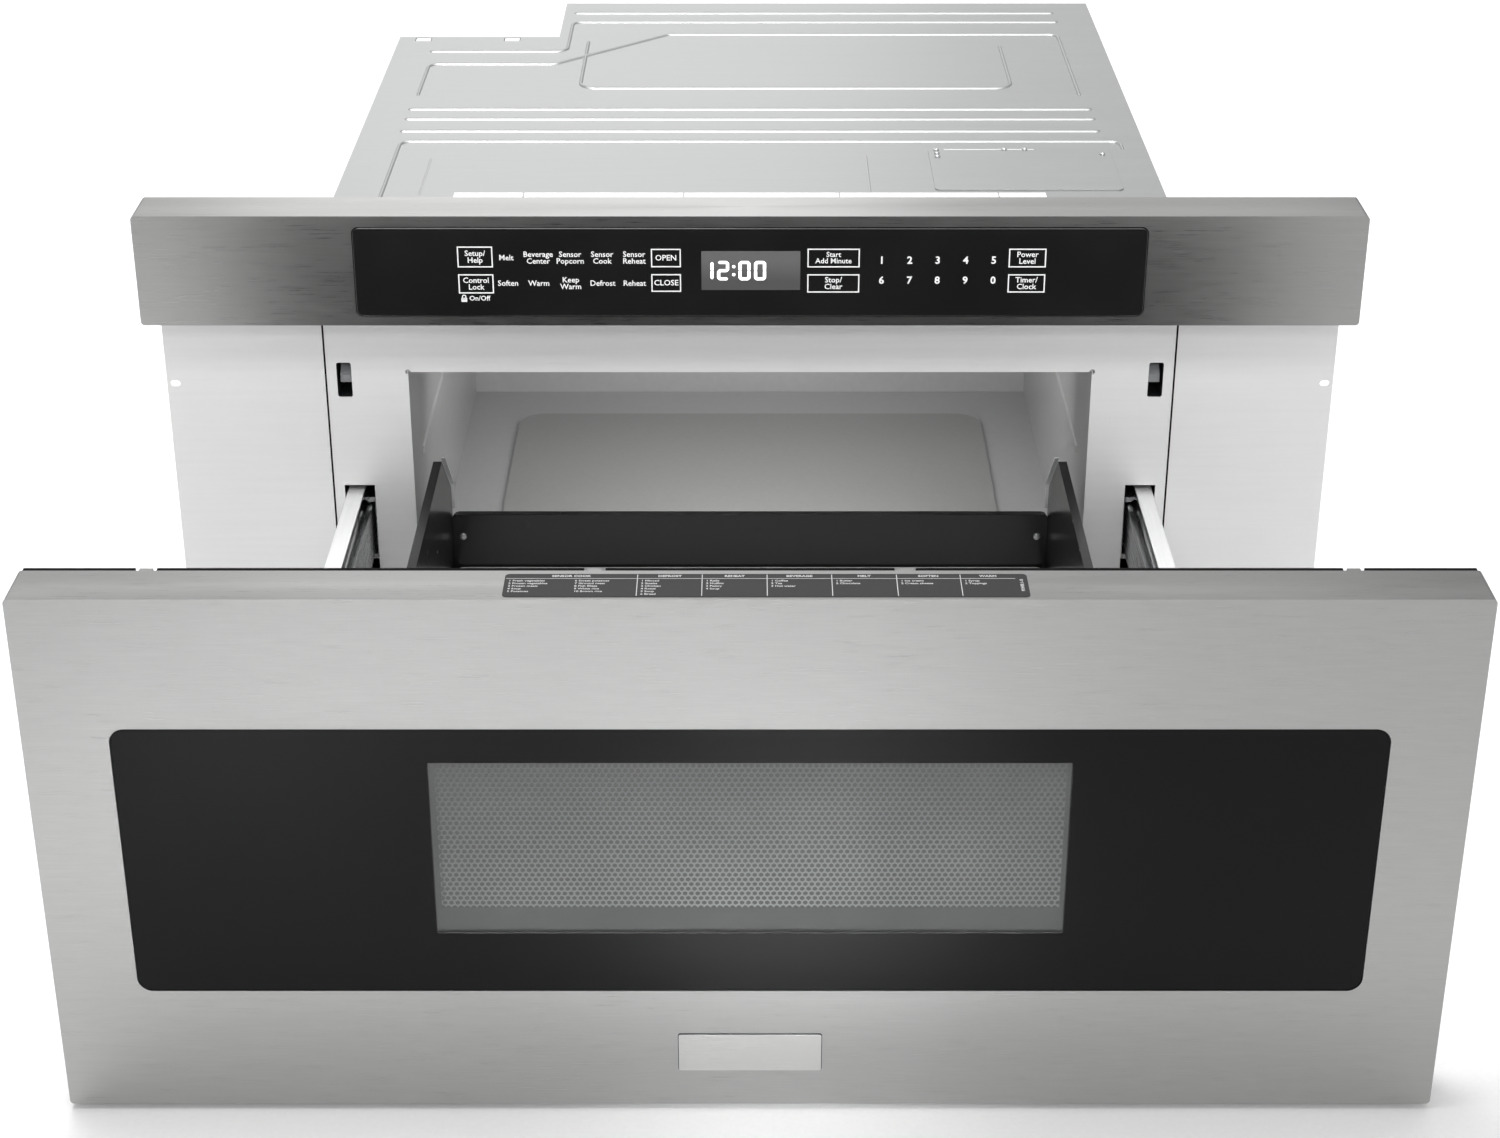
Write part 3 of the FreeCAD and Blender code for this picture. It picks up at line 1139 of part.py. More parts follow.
def make_choke_cover():
    """Black moulded cover that closes the rear of the drawer front."""
    x, z0, z1 = FRONT_X - 2, DRAWER_LIFT + 2, DRAWER_TOP - 2
    plate = soft_box(-x, x, SKIN_REAR, SEAL_REAR, z0, z1, 2, "y")
    tools = []
    inner_x = CARRIER_X + CARRIER_T - CARRIER_CAP - 5
    for side in (-1, 1):
        x0, x1 = sorted((side * inner_x, side * (CARRIER_X + CARRIER_T + 1)))
        z_low = RACK_PITCH_Z - MODULE - 2
        tools.append(box(x0, x1, SKIN_REAR - 1, SEAL_REAR + 1, z_low, CARRIER_TOP + 1))
    for k in range(8):
        vent_x = -CAVITY_X + 40 + k * (2 * CAVITY_X - 80) / 7
        tools.append(box(vent_x - 12, vent_x + 12, SKIN_REAR - 1, SEAL_REAR + 1, z1 - 16, z1 - 12))
    view = soft_box(
        -BOX_X + 16, BOX_X - 16, SEAL_REAR - 0.8, SEAL_REAR + 1, BOX_FLOOR_Z + 8, BOX_TOP - 8, 6, "y"
    )
    tools.append(view)
    return [cut(plate, tools)]


def drawer_wall():
    """Right-hand side wall of the box, shut, with its sloped rear corner."""
    rear, low, top = BOX_REAR, BOX_GLASS_Z, BOX_TOP
    side = [
        (SEAL_REAR, low),
        (rear, low),
        (rear - 5, top - BOX_CUT_DROP),
        (rear - 5 - BOX_CUT_RUN, top),
        (SEAL_REAR, top),
    ]
    return prism(side, "yz", BOX_X - BOX_WALL, BOX_X)


def make_drawer_back():
    """Low rear wall between the side walls, with rounded top corners."""
    x = BOX_X - BOX_WALL
    z0, z1 = BOX_FLOOR_Z, BOX_FLOOR_Z + BOX_BACK_H
    wall = box(-x, x, BOX_REAR - 5 - BOX_WALL, BOX_REAR - 5, z0, z1)
    corners = [e for e in wall.Edges if e.CenterOfMass.z > z1 - 1e-6 and e.Length < BOX_WALL + 1]
    wall = wall.makeFillet(7, [e for e in corners if abs(abs(e.CenterOfMass.x) - x) < 1e-6])
    ledge = box(-x, x, BOX_REAR - 5, BOX_REAR, z0, z0 + 6)
    return [joined([wall, ledge])]


def make_drawer_floor():
    """Glass-ceramic floor panel between the side walls."""
    x = BOX_X - BOX_WALL
    return [box(-x, x, SEAL_REAR, BOX_REAR, BOX_GLASS_Z, BOX_FLOOR_Z)]


def make_floor_frame():
    """Moulded frame under the box: rim with a wide opening and three cross ribs."""
    outer = soft_box(-BOX_X, BOX_X, SEAL_REAR, BOX_REAR, BOX_BOTTOM, BOX_GLASS_Z, 3, "z")
    edge = 26.0
    opening = box(
        -BOX_X + edge, BOX_X - edge, SEAL_REAR + edge, BOX_REAR - edge, BOX_BOTTOM - 1, BOX_GLASS_Z + 1
    )
    frame = cut(outer, [opening])
    span = BOX_REAR - SEAL_REAR
    ribs = []
    for share in (0.25, 0.5, 0.75):
        y = SEAL_REAR + span * share
        ribs.append(box(-BOX_X + edge - 1, BOX_X - edge + 1, y - 2, y + 2, BOX_BOTTOM + 4, BOX_GLASS_Z))
    return [joined([frame] + ribs)]


# ---------------------------------------------------------------- the part

def build_housing():
    export("base_plate", make_base_plate())
    export("case_top", make_case_top())
    export("access_cover", make_access_cover())
    export("top_gasket", make_top_gasket())
    export("case_sides", make_case_sides())
    export("rear_panel", make_rear_panel())
    export("cord_gland", make_cord_gland())
    export("front_plate", make_front_plate())
    export("wing_left", [mirrored(make_wing())])
    export("wing_right", [make_wing()])
    export("cavity", make_cavity())
    export("antenna_cover", make_antenna_cover())
    export("waveguide", make_waveguide())
    export("rotating_antenna", make_rotating_antenna())
    export("antenna_motor", make_antenna_motor())
    export("magnetron", make_magnetron())
    export("hv_transformer", make_hv_transformer())
    export("hv_capacitor", make_hv_capacitor())
    export("noise_filter", make_noise_filter())
    export("oven_lamp", make_oven_lamp())
    export("fan_shroud", make_fan_shroud())
    export("fan_motor", make_fan_motor())
    export("fan_impeller", make_fan_impeller())
    export("fascia", make_fascia())
    export("control_glass", make_control_glass())
    export("control_carrier", make_control_carrier())
    export("control_board", make_control_board())
    export("latch_housings", pair(latch_block))
    export("latch_lever_left", make_latch_lever(-1))
    export("latch_lever_right", make_latch_lever(1))
    switches = interlock_switches()
    export("interlock_switches", switches + [mirrored(s) for s in switches])


def build_slides():
    export("slide_supports", pair(slide_support))
    for side in ("left", "right"):
        hand = mirrored if side == "left" else (lambda shape: shape)
        export("slide_cabinet_" + side, [hand(slide_cabinet_member())])
        middle = [hand(slide_middle_member())]
        export("slide_middle_" + side, drawn_out(middle, 0.5))
        outer_cage = [hand(s) for s in ball_cage(RAIL_T + RAIL_GAP, OUTER_BALL_B)]
        export("cage_outer_" + side, drawn_out(outer_cage, 0.25))
        inner_cage = [hand(s) for s in ball_cage(INNER_CAGE_A, INNER_BALL_B)]
        export("cage_inner_" + side, drawn_out(inner_cage, 0.75))
        export("slide_drawer_" + side, drawn_out([hand(slide_drawer_member())]))
    export("slide_carriers", drawn_out(pair(slide_carrier)))
    export("drawer_racks", drawn_out(pair(rack)))
    export("drive_shaft", make_drive_shaft())
    export("drive_gears", make_drive_gears())
    export("motor_gear", make_motor_gear())
    export("drive_motor", make_drive_motor())
    export("shaft_bushes", pair(shaft_bush))


def build_drawer():
    export("drawer_skin", drawn_out(make_drawer_skin()))
    export("drawer_glass", drawn_out(make_drawer_glass()))
    export("choke_panel", drawn_out(make_choke_panel()))
    export("choke_cover", drawn_out(make_choke_cover()))
    export("drawer_wall_left", drawn_out([mirrored(drawer_wall())]))
    export("drawer_wall_right", drawn_out([drawer_wall()]))
    export("drawer_back", drawn_out(make_drawer_back()))
    export("drawer_floor", drawn_out(make_drawer_floor()))
    export("floor_frame", drawn_out(make_floor_frame()))
    export("latch_strikers", drawn_out(pair(striker)))


os.makedirs("parts", exist_ok=True)
build_housing()
build_slides()
build_drawer()
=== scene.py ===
"""Looks of a built-in microwave drawer, shown with its drawer drawn out.

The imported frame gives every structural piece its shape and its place. This script gives
each of them its finish, adds the glazed, pierced, printed and fastened details that the
frame leaves out, and sets the floor, the lights and the camera. Sizes in the classes are
millimetres in the frame's own axes: X to the right, Y to the rear, Z up.
"""

import logging
import math
from dataclasses import dataclass
from enum import Enum
from typing import ClassVar

import bmesh
import bpy
from bmesh.types import BMEdge, BMesh, BMFace, BMVert
from bpy.types import Material, Node, NodeSocket, NodeTree, Object
from mathutils import Matrix, Vector


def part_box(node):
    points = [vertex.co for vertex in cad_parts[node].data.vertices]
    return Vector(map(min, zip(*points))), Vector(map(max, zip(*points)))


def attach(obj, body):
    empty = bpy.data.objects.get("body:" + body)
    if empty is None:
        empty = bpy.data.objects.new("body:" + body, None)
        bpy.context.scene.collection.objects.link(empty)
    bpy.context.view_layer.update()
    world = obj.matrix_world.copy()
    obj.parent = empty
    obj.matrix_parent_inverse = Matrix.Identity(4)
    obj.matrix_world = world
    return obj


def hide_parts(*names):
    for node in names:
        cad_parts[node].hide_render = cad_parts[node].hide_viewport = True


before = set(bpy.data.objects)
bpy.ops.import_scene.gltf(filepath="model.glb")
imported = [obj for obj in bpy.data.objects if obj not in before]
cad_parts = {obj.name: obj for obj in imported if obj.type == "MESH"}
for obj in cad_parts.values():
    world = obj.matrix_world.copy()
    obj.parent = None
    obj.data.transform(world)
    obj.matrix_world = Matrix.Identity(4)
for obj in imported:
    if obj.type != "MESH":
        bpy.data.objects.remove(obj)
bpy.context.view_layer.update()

MM = 0.001
LOG = logging.getLogger("microwave_drawer")

# A pattern stays mostly between these two values, so a finish's tones stand at them.
PATTERN_LOW, PATTERN_HIGH = 0.25, 0.75


def linear(code: str) -> tuple[float, float, float, float]:
    """Turns an sRGB hex colour into linear red, green, blue and a full alpha.

    The numbers are those of the sRGB standard's curve.

    Args:
        code: six hex digits after a hash sign.

    Returns:
        Four numbers from 0 to 1.
    """
    channels = [int(code[i : i + 2], 16) / 255 for i in (1, 3, 5)]
    bent = [c / 12.92 if c <= 0.04045 else ((c + 0.055) / 1.055) ** 2.4 for c in channels]
    return (bent[0], bent[1], bent[2], 1.0)


def add_node(
    tree: NodeTree, kind: str, settings: dict | None = None, links: dict | None = None
) -> Node:
    """Adds one shader node with its settings and its incoming links.

    Args:
        tree: the node tree that takes the node.
        kind: the node's type, without the word ShaderNode.
        settings: values by property name, or by input name or number.
        links: output sockets by the name or number of the input that they feed.

    Returns:
        The new node.
    """
    node = tree.nodes.new("ShaderNode" + kind)
    for key, value in (settings or {}).items():
        if isinstance(key, str) and hasattr(node, key):
            setattr(node, key, value)
        else:
            node.inputs[key].default_value = value
    for key, socket in (links or {}).items():
        tree.links.new(socket, node.inputs[key])
    return node


class Facing(Enum):
    """Side that a flat piece faces. The value holds where its own X, Y and Z point."""

    FRONT = ((1, 0, 0), (0, 0, 1), (0, -1, 0))
    REAR = ((-1, 0, 0), (0, 0, 1), (0, 1, 0))
    TOP = ((1, 0, 0), (0, 1, 0), (0, 0, 1))
    RIGHT = ((0, 1, 0), (0, 0, 1), (1, 0, 0))
    LEFT = ((0, -1, 0), (0, 0, 1), (-1, 0, 0))

    def at(self, x: float, y: float, z: float) -> Matrix:
        """Finds the matrix that sets a flat drawing, in mm, on its place in metres.

        Args:
            x: place across, in mm.
            y: place in depth, in mm.
            z: height, in mm.

        Returns:
            The matrix to transform the drawing's mesh by.
        """
        turn = Matrix(self.value).transposed().to_4x4()
        return Matrix.Translation(Vector((x, y, z)) * MM) @ turn @ Matrix.Scale(MM, 4)


class Grain(Enum):
    """Axis that a material was brushed, rolled or stacked along: that axis's number."""

    ALONG_X = 0
    ALONG_Y = 1
    ALONG_Z = 2

    def spacing(self, across_mm: float, along_mm: float) -> tuple[float, float, float]:
        """Finds pattern scales for streaks along this axis.

        Args:
            across_mm: distance between streaks.
            along_mm: length of a streak.

        Returns:
            Scales for X, Y and Z, in pattern units per metre.
        """
        scales = [1 / (across_mm * MM)] * 3
        scales[self.value] = 1 / (along_mm * MM)
        return tuple(scales)


@dataclass(frozen=True)
class Coat:
    """A material in the making: its tree, its shader, and the place its pattern reads."""

    tree: NodeTree
    shader: Node
    place: NodeSocket


@dataclass(frozen=True)
class Finish:
    """A surface finish with one procedural material, made at its first use."""

    name: str
    colour: str
    second: str
    roughness: tuple[float, float]

    def material(self) -> Material:
        """Finds the finish's material, built once and shared by all its pieces.

        Returns:
            The material.
        """
        found = bpy.data.materials.get(self.name)
        if found is not None:
            return found
        material = bpy.data.materials.new(self.name)
        material.use_nodes = True
        material.diffuse_color = linear(self.colour)
        tree = material.node_tree
        tree.nodes.clear()
        constants = {"Base Color": linear(self.colour), **self.constants()}
        shader = add_node(tree, "BsdfPrincipled", constants)
        add_node(tree, "OutputMaterial", None, {"Surface": shader.outputs["BSDF"]})
        self.dress(Coat(tree, shader, add_node(tree, "TexCoord").outputs["Object"]))
        return material

    def constants(self) -> dict:
        """Returns the values that are the same all over, by the shader's own sockets."""
        return {}

    def dress(self, coat: Coat) -> None:
        """Adds the finish's pattern to its material; each kind of finish has its own.

        Args:
            coat: the material in the making.
        """
        raise NotImplementedError

    def drive(self, coat: Coat, pattern: NodeSocket, relief_mm: float = 0.0) -> None:
        """Lets one pattern set the tone, the gloss and the relief together.

        Args:
            coat: the material in the making.
            pattern: a value from 0 to 1.
            relief_mm: height of the pattern's relief.
        """
        span = {"From Min": PATTERN_LOW, "From Max": PATTERN_HIGH}
        spread = add_node(coat.tree, "MapRange", span, {"Value": pattern}).outputs[0]
        tones = {"data_type": "RGBA", 6: linear(self.colour), 7: linear(self.second)}
        tone = add_node(coat.tree, "Mix", tones, {0: spread})
        limits = {"To Min": self.roughness[0], "To Max": self.roughness[1]}
        gloss = add_node(coat.tree, "MapRange", limits, {"Value": spread})
        height = {"Strength": 1.0, "Distance": relief_mm * MM}
        relief = add_node(coat.tree, "Bump", height, {"Height": pattern})
        coat.tree.links.new(tone.outputs[2], coat.shader.inputs["Base Color"])
        coat.tree.links.new(gloss.outputs[0], coat.shader.inputs["Roughness"])
        coat.tree.links.new(relief.outputs[0], coat.shader.inputs["Normal"])


@dataclass(frozen=True)
class BrushedMetal(Finish):
    """Stainless steel, belt-brushed: long fine lines that smear each highlight across."""

    grain: Grain
    line_mm: float
    streak_mm: float
    cloud_mm: float
    relief_mm: float
    cloud_ratio: ClassVar[float] = 5.0
    cloud_share: ClassVar[float] = 0.35

    def constants(self) -> dict:
        """Returns a metal's values, with highlights drawn out by the brushing."""
        return {"Metallic": 1.0, "Anisotropic": 0.45}

    def dress(self, coat: Coat) -> None:
        """Adds brush lines, and soft clouds where the belt pressed harder.

        Args:
            coat: the material in the making.
        """
        lines = self.grain.spacing(self.line_mm, self.streak_mm)
        clouds = self.grain.spacing(self.cloud_mm / self.cloud_ratio, self.cloud_mm)
        layers = []
        for scale, detail in ((lines, 3.0), (clouds, 4.0)):
            scaled = add_node(coat.tree, "Mapping", {"Scale": scale}, {"Vector": coat.place})
            settings = {"Scale": 1.0, "Detail": detail}
            noise = add_node(coat.tree, "TexNoise", settings, {"Vector": scaled.outputs[0]})
            layers.append(noise.outputs[0])
        share = {"data_type": "FLOAT", 0: self.cloud_share}
        both = add_node(coat.tree, "Mix", share, {2: layers[0], 3: layers[1]})
        self.drive(coat, both.outputs[0], self.relief_mm)


@dataclass(frozen=True)
class SheetMetal(Finish):
    """Coated metal sheet, cold-rolled: a soft satin with faint roll marks and crystals."""

    grain: Grain
    roll_mm: float
    streak_mm: float
    spangle_mm: float = 9.0
    relief_mm: float = 0.004
    metallic: float = 1.0
    spangle_share: ClassVar[float] = 0.12

    def constants(self) -> dict:
        """Returns a metal's values, or a part of them where a clear lacquer lies over it."""
        return {"Metallic": self.metallic}

    def dress(self, coat: Coat) -> None:
        """Adds roll marks over the small crystals of the zinc coat.

        Args:
            coat: the material in the making.
        """
        scale = {"Scale": self.grain.spacing(self.roll_mm, self.streak_mm)}
        along = add_node(coat.tree, "Mapping", scale, {"Vector": coat.place})
        settings = {"Scale": 1.0, "Detail": 4.0}
        rolls = add_node(coat.tree, "TexNoise", settings, {"Vector": along.outputs[0]})
        cell = {"Scale": 1 / (self.spangle_mm * MM)}
        crystals = add_node(coat.tree, "TexVoronoi", cell, {"Vector": coat.place})
        grey = add_node(coat.tree, "RGBToBW", None, {"Color": crystals.outputs["Color"]})
        share = {"data_type": "FLOAT", 0: self.spangle_share}
        both = add_node(coat.tree, "Mix", share, {2: rolls.outputs[0], 3: grey.outputs[0]})
        self.drive(coat, both.outputs[0], self.relief_mm)


@dataclass(frozen=True)
class SpeckledFinish(Finish):
    """A finish with one even speckle all over; its kinds differ in size and harshness."""

    speckle_mm: float
    relief_mm: float = 0.0
    detail: ClassVar[float] = 3.0
    harshness: ClassVar[float] = 0.5

    def dress(self, coat: Coat) -> None:
        """Adds the speckle.

        Args:
            coat: the material in the making.
        """
        settings = {
            "Scale": 1 / (self.speckle_mm * MM),
            "Detail": self.detail,
            "Roughness": self.harshness,
        }
        speckle = add_node(coat.tree, "TexNoise", settings, {"Vector": coat.place})
        self.drive(coat, speckle.outputs[0], self.relief_mm)


@dataclass(frozen=True)
class TurnedMetal(SpeckledFinish):
    """Bar and stamped metal, turned or tumbled: tight tool marks and a bright gloss."""

    speckle_mm: float = 0.6
    relief_mm: float = 0.006

    def constants(self) -> dict:
        """Returns a bare metal's values."""
        return {"Metallic": 1.0}


@dataclass(frozen=True)
class MouldedPlastic(SpeckledFinish):
    """Plastic from a spark-eroded tool, moulded: an even fine grain, softly matt."""

    speckle_mm: float = 0.45
    relief_mm: float = 0.02
    specular: float = 0.5
    detail: ClassVar[float] = 2.0
    harshness: ClassVar[float] = 0.6

    def constants(self) -> dict:
        """Returns a common plastic's values."""
        return {"IOR": 1.49, "Specular IOR Level": self.specular}


@dataclass(frozen=True)
class Enamel(SpeckledFinish):
    """Fired or sprayed coat on steel or ceramic: smooth, with faint orange peel."""

    speckle_mm: float = 5.0
    relief_mm: float = 0.02
    top_coat: float = 0.3
    detail: ClassVar[float] = 5.0
    harshness: ClassVar[float] = 0.55

    def constants(self) -> dict:
        """Returns the values of a glassy coat under a clear top layer."""
        return {"IOR": 1.52, "Coat Weight": self.top_coat, "Coat Roughness": 0.12}


@dataclass(frozen=True)
class PolishedGlass(SpeckledFinish):
    """Glass or glass-ceramic, polished: mirror-like, with the smears of a wiped pane."""

    speckle_mm: float = 60.0
    specular: float = 0.5
    clear: float = 0.0

    def constants(self) -> dict:
        """Returns the values of soda-lime glass, clear or with print fired on behind it."""
        return {
            "IOR": 1.5,
            "Specular IOR Level": self.specular,
            "Transmission Weight": self.clear,
        }


@dataclass(frozen=True)
class Ink(SpeckledFinish):
    """Epoxy ink, screen-printed: flat and opaque, with the mesh's faint mottle."""

    speckle_mm: float = 0.8
    glow: float = 0.0
    detail: ClassVar[float] = 1.0

    def constants(self) -> dict:
        """Returns a dull ink's values, and its glow: a lit segment's own light, and on unlit print
        a faint painted glow.
        """
        return {
            "Specular IOR Level": 0.2,
            "Emission Color": linear(self.colour),
            "Emission Strength": self.glow,
        }


@dataclass(frozen=True)
class CellFoam(Finish):
    """Open-cell polyether foam, cut: chalky and pitted with small cells."""

    cell_mm: float = 1.1
    relief_mm: float = 0.35

    def dress(self, coat: Coat) -> None:
        """Adds the cut cells.

        Args:
            coat: the material in the making.
        """
        scale = {"Scale": 1 / (self.cell_mm * MM)}
        cells = add_node(coat.tree, "TexVoronoi", scale, {"Vector": coat.place})
        self.drive(coat, cells.outputs["Distance"], self.relief_mm)


@dataclass(frozen=True)
class StackedLayers(Finish):
    """Layers seen on edge, stamped or woven: fine even bands along one axis."""

    grain: Grain
    layer_mm: float
    relief_mm: float
    metallic: float = 0.0
    wobble: ClassVar[float] = 0.3

    def constants(self) -> dict:
        """Returns how far the layers are metal."""
        return {"Metallic": self.metallic}

    def dress(self, coat: Coat) -> None:
        """Adds one band for each layer.

        The wave repeats every 2 pi / 20 of its own unit, so its scale takes that factor.

        Args:
            coat: the material in the making.
        """
        settings = {
            "bands_direction": "XYZ"[self.grain.value],
            "Scale": math.tau / 20 / (self.layer_mm * MM),
            "Distortion": self.wobble,
        }
        bands = add_node(coat.tree, "TexWave", settings, {"Vector": coat.place})
        self.drive(coat, bands.outputs["Fac"], self.relief_mm)


@dataclass(frozen=True)
class ShadedPaint(Finish):
    """Paint behind glass, sprayed, with painted light in the middle of its foot and painted shade
    up and out.
    """

    foot_mm: float
    reach_mm: tuple[float, float] = (370.0, 128.0)

    def dress(self, coat: Coat) -> None:
        """Adds the painted light and shade, by the distance from the middle of the foot.

        Args:
            coat: the material in the making.
        """
        across, up = (1 / (reach * MM) for reach in self.reach_mm)
        shape = {"Location": (0.0, 0.0, -self.foot_mm * MM * up), "Scale": (across, 0.0, up)}
        spread = add_node(coat.tree, "Mapping", shape, {"Vector": coat.place})
        length = {"operation": "LENGTH"}
        distance = add_node(coat.tree, "VectorMath", length, {"Vector": spread.outputs[0]})
        fall = {"To Min": PATTERN_HIGH, "To Max": PATTERN_LOW}
        fade = add_node(coat.tree, "MapRange", fall, {"Value": distance.outputs["Value"]})
        self.drive(coat, fade.outputs[0])


@dataclass(frozen=True)
class DisplayLens(Finish):
    """Smoked polycarbonate over a lit module, moulded: grey, with a painted glow that fades
    downwards.
    """

    top_mm: float
    bottom_mm: float

    def dress(self, coat: Coat) -> None:
        """Adds the painted glow's fade over the lens's height.

        Args:
            coat: the material in the making.
        """
        height = add_node(coat.tree, "SeparateXYZ", None, {"Vector": coat.place})
        span = {"From Min": self.bottom_mm * MM, "From Max": self.top_mm * MM}
        fade = add_node(coat.tree, "MapRange", span, {"Value": height.outputs["Z"]})
        self.drive(coat, fade.outputs[0])


# Stainless steel, belt-brushed: fine lines across the front that draw each light out.
FRONT_STEEL = BrushedMetal(
    "steel_belt_brushed",
    "#a3a3a2",
    "#adadac",
    (0.25, 0.35),
    Grain.ALONG_X,
    line_mm=0.38,
    streak_mm=32.0,
    cloud_mm=22.0,
    relief_mm=0.0025,
)
# The same steel, brushed finer for a bare plate and more even; its lighter colour is a painted
# reflection.
PLATE_STEEL = BrushedMetal(
    "steel_plate_brushed",
    "#c0c0bf",
    "#cbcbca",
    (0.22, 0.3),
    Grain.ALONG_X,
    line_mm=0.3,
    streak_mm=30.0,
    cloud_mm=40.0,
    relief_mm=0.001,
)
# Float glass with black print fired on behind: deep black, with one soft reflection.
BLACK_GLASS = PolishedGlass("glass_black_printed", "#040404", "#060606", (0.07, 0.1), specular=0.15)
# The control panel's glass, printed black: a shade lighter and duller than the drawer's.
PANEL_GLASS = PolishedGlass("glass_black_control", "#171717", "#1b1b1b", (0.12, 0.2))
# Clear float glass, polished: only its sheen shows, and what lies behind it.
CLEAR_PANE = PolishedGlass("glass_clear_polished", "#c9cccb", "#d2d4d3", (0.02, 0.05), clear=1.0)
# Steel panel, spray-painted: an even middle grey, softly matt.
PANEL_ENAMEL = Enamel("steel_panel_painted", "#747474", "#7b7b7b", (0.35, 0.5), 2.0, 0.01, 0.1)
# Perforated steel, spray-painted grey, with painted light lowest in the middle of the window and
# painted shade up and out.
SCREEN_PAINT_AND_SHADE = ShadedPaint("steel_screen_painted_shade", "#5c5c5c", "#f6f6f6", (0.3, 0.4), 131.6)
# Mica sheet, pressed: dull near-black that turns the screen's holes into dots.
BACKING = Enamel("mica_dark_pressed", "#1e1e1e", "#242424", (0.5, 0.6), 4.0, 0.01, 0.0)
# White epoxy ink, screen-printed: crisp legends with a faint painted glow, brighter than their
# light.
WHITE_INK = Ink("ink_white_printed", "#e6e6e6", "#f2f2f2", (0.45, 0.6), glow=0.12)
# Grey epoxy ink, screen-printed: the label's small words and rules.
GREY_INK = Ink("ink_grey_printed", "#b9b9b9", "#c6c6c6", (0.5, 0.65))
# Printed polyester label: dull dark grey ground.
STRIP_INK = Ink("label_dark_printed", "#2f2f2f", "#363636", (0.5, 0.62))
# Lit segment behind the lens: plain white light.
LIT_SEGMENT = Ink("segment_white_lit", "#ffffff", "#f6f6f6", (0.4, 0.5), glow=1.1)
# Smoked polycarbonate, moulded: grey with a painted glow, dimmer towards its foot.
LENS = DisplayLens("lens_smoked_moulded", "#565656", "#6a6a6a", (0.2, 0.2), 376.0, 350.0)
# Steel screw, zinc-plated: a small bright glint with a dark cross.
SCREW_ZINC = TurnedMetal("screw_zinc_plated", "#c8cacb", "#dcdddd", (0.2, 0.34), 0.4)
# Galvanised steel, rolled: a soft satin grey with faint crystals.
CASING = SheetMetal(
    "steel_galvanised_rolled",
    "#a3a4a4",
    "#acadad",
    (0.34, 0.42),
    Grain.ALONG_X,
    roll_mm=2.0,
    streak_mm=90.0,
    relief_mm=0.002,
    metallic=0.7,
)
# Lacquered steel flange, rolled: smooth, and near-white with painted light.
FLANGE = SheetMetal(
    "steel_flange_rolled",
    "#e1e1e1",
    "#e5e5e5",
    (0.46, 0.5),
    Grain.ALONG_X,
    roll_mm=3.0,
    streak_mm=90.0,
    spangle_mm=14.0,
    relief_mm=0.001,
    metallic=0.2,
)
# Zinc-plated rail, rolled: smooth grey with long soft lights along the slide.
RAIL = SheetMetal(
    "steel_rail_zinc_rolled",
    "#aeb0b1",
    "#babbbc",
    (0.26, 0.3),
    Grain.ALONG_Y,
    roll_mm=1.6,
    streak_mm=90.0,
    relief_mm=0.001,
)
# Bright zinc-plated strip, rolled: the lightest metal beside the box.
CARRIER = SheetMetal(
    "steel_carrier_zinc_rolled",
    "#e6e7e7",
    "#f0f0f0",
    (0.34, 0.42),
    Grain.ALONG_Y,
    roll_mm=1.2,
    streak_mm=80.0,
    relief_mm=0.002,
    metallic=0.5,
)
# Stamped steel cage and its balls, tumbled: small bright sparks in the slide.
CAGE = TurnedMetal("steel_cage_tumbled", "#a9abad", "#c2c3c4", (0.2, 0.32), 0.8)
# Grey enamel, fired: the cavity's even glassy walls.
CAVITY = Enamel("enamel_grey_fired", "#b2b2b2", "#b8b8b8", (0.3, 0.42), 6.0, 0.015, 0.25)
# Grey ceramic, pressed: a dull flat floor over the antenna.
CERAMIC = Enamel("ceramic_grey_pressed", "#9a9a98", "#a3a3a1", (0.35, 0.5), 3.0, 0.02, 0.1)
# Black coat, glossed: the food box, with soft lights along its rims.
BOX_BLACK = Enamel("box_black_glossed", "#141414", "#181818", (0.2, 0.28), 8.0, 0.01, 0.0)
# Black glass-ceramic, polished: a dark mirror under the tray.
FLOOR_GLASS = PolishedGlass("ceramic_glass_black", "#141414", "#1a1a1a", (0.06, 0.12))
# Grey glass-ceramic, satin: the tray's even pale grey.
TRAY_GREY = Enamel("ceramic_glass_grey", "#b2b2b2", "#b5b5b5", (0.3, 0.34), 4.0, 0.004, 0.1)
# White polyether foam, cut: chalky pads.
FOAM = CellFoam("foam_white_cut", "#f0f0ee", "#ffffff", (0.85, 0.95))
# Black ABS, moulded: a soft dark carrier and cover.
BLACK_ABS = MouldedPlastic("abs_black_moulded", "#141414", "#1b1b1b", (0.42, 0.55))
# Black PPS, moulded: a harder and slightly glossier frame.
FRAME_BLACK = MouldedPlastic("pps_black_moulded", "#191919", "#202020", (0.38, 0.5))
# Black rubber, moulded: a dead dark line that keeps no highlight; in the wing seams the same black
# strips are painted shade.
LIP_AND_SEAM_SHADE_BLACK = MouldedPlastic("rubber_black_and_seam_shade", "#0c0c0c", "#121212", (0.8, 0.9), specular=0.1)
# Black acetal, moulded: a waxy dark latch body.
LATCH_BLACK = MouldedPlastic("acetal_black_moulded", "#26282a", "#303234", (0.3, 0.42))
# Grey acetal, moulded: a waxy grey lever in its dark slot.
LEVER_GREY = MouldedPlastic("acetal_grey_moulded", "#8e9092", "#9a9c9e", (0.3, 0.42))
# Grey polypropylene, moulded: a dull fan and shroud.
FAN_GREY = MouldedPlastic("polypropylene_grey_moulded", "#6f7375", "#7c8082", (0.4, 0.52))
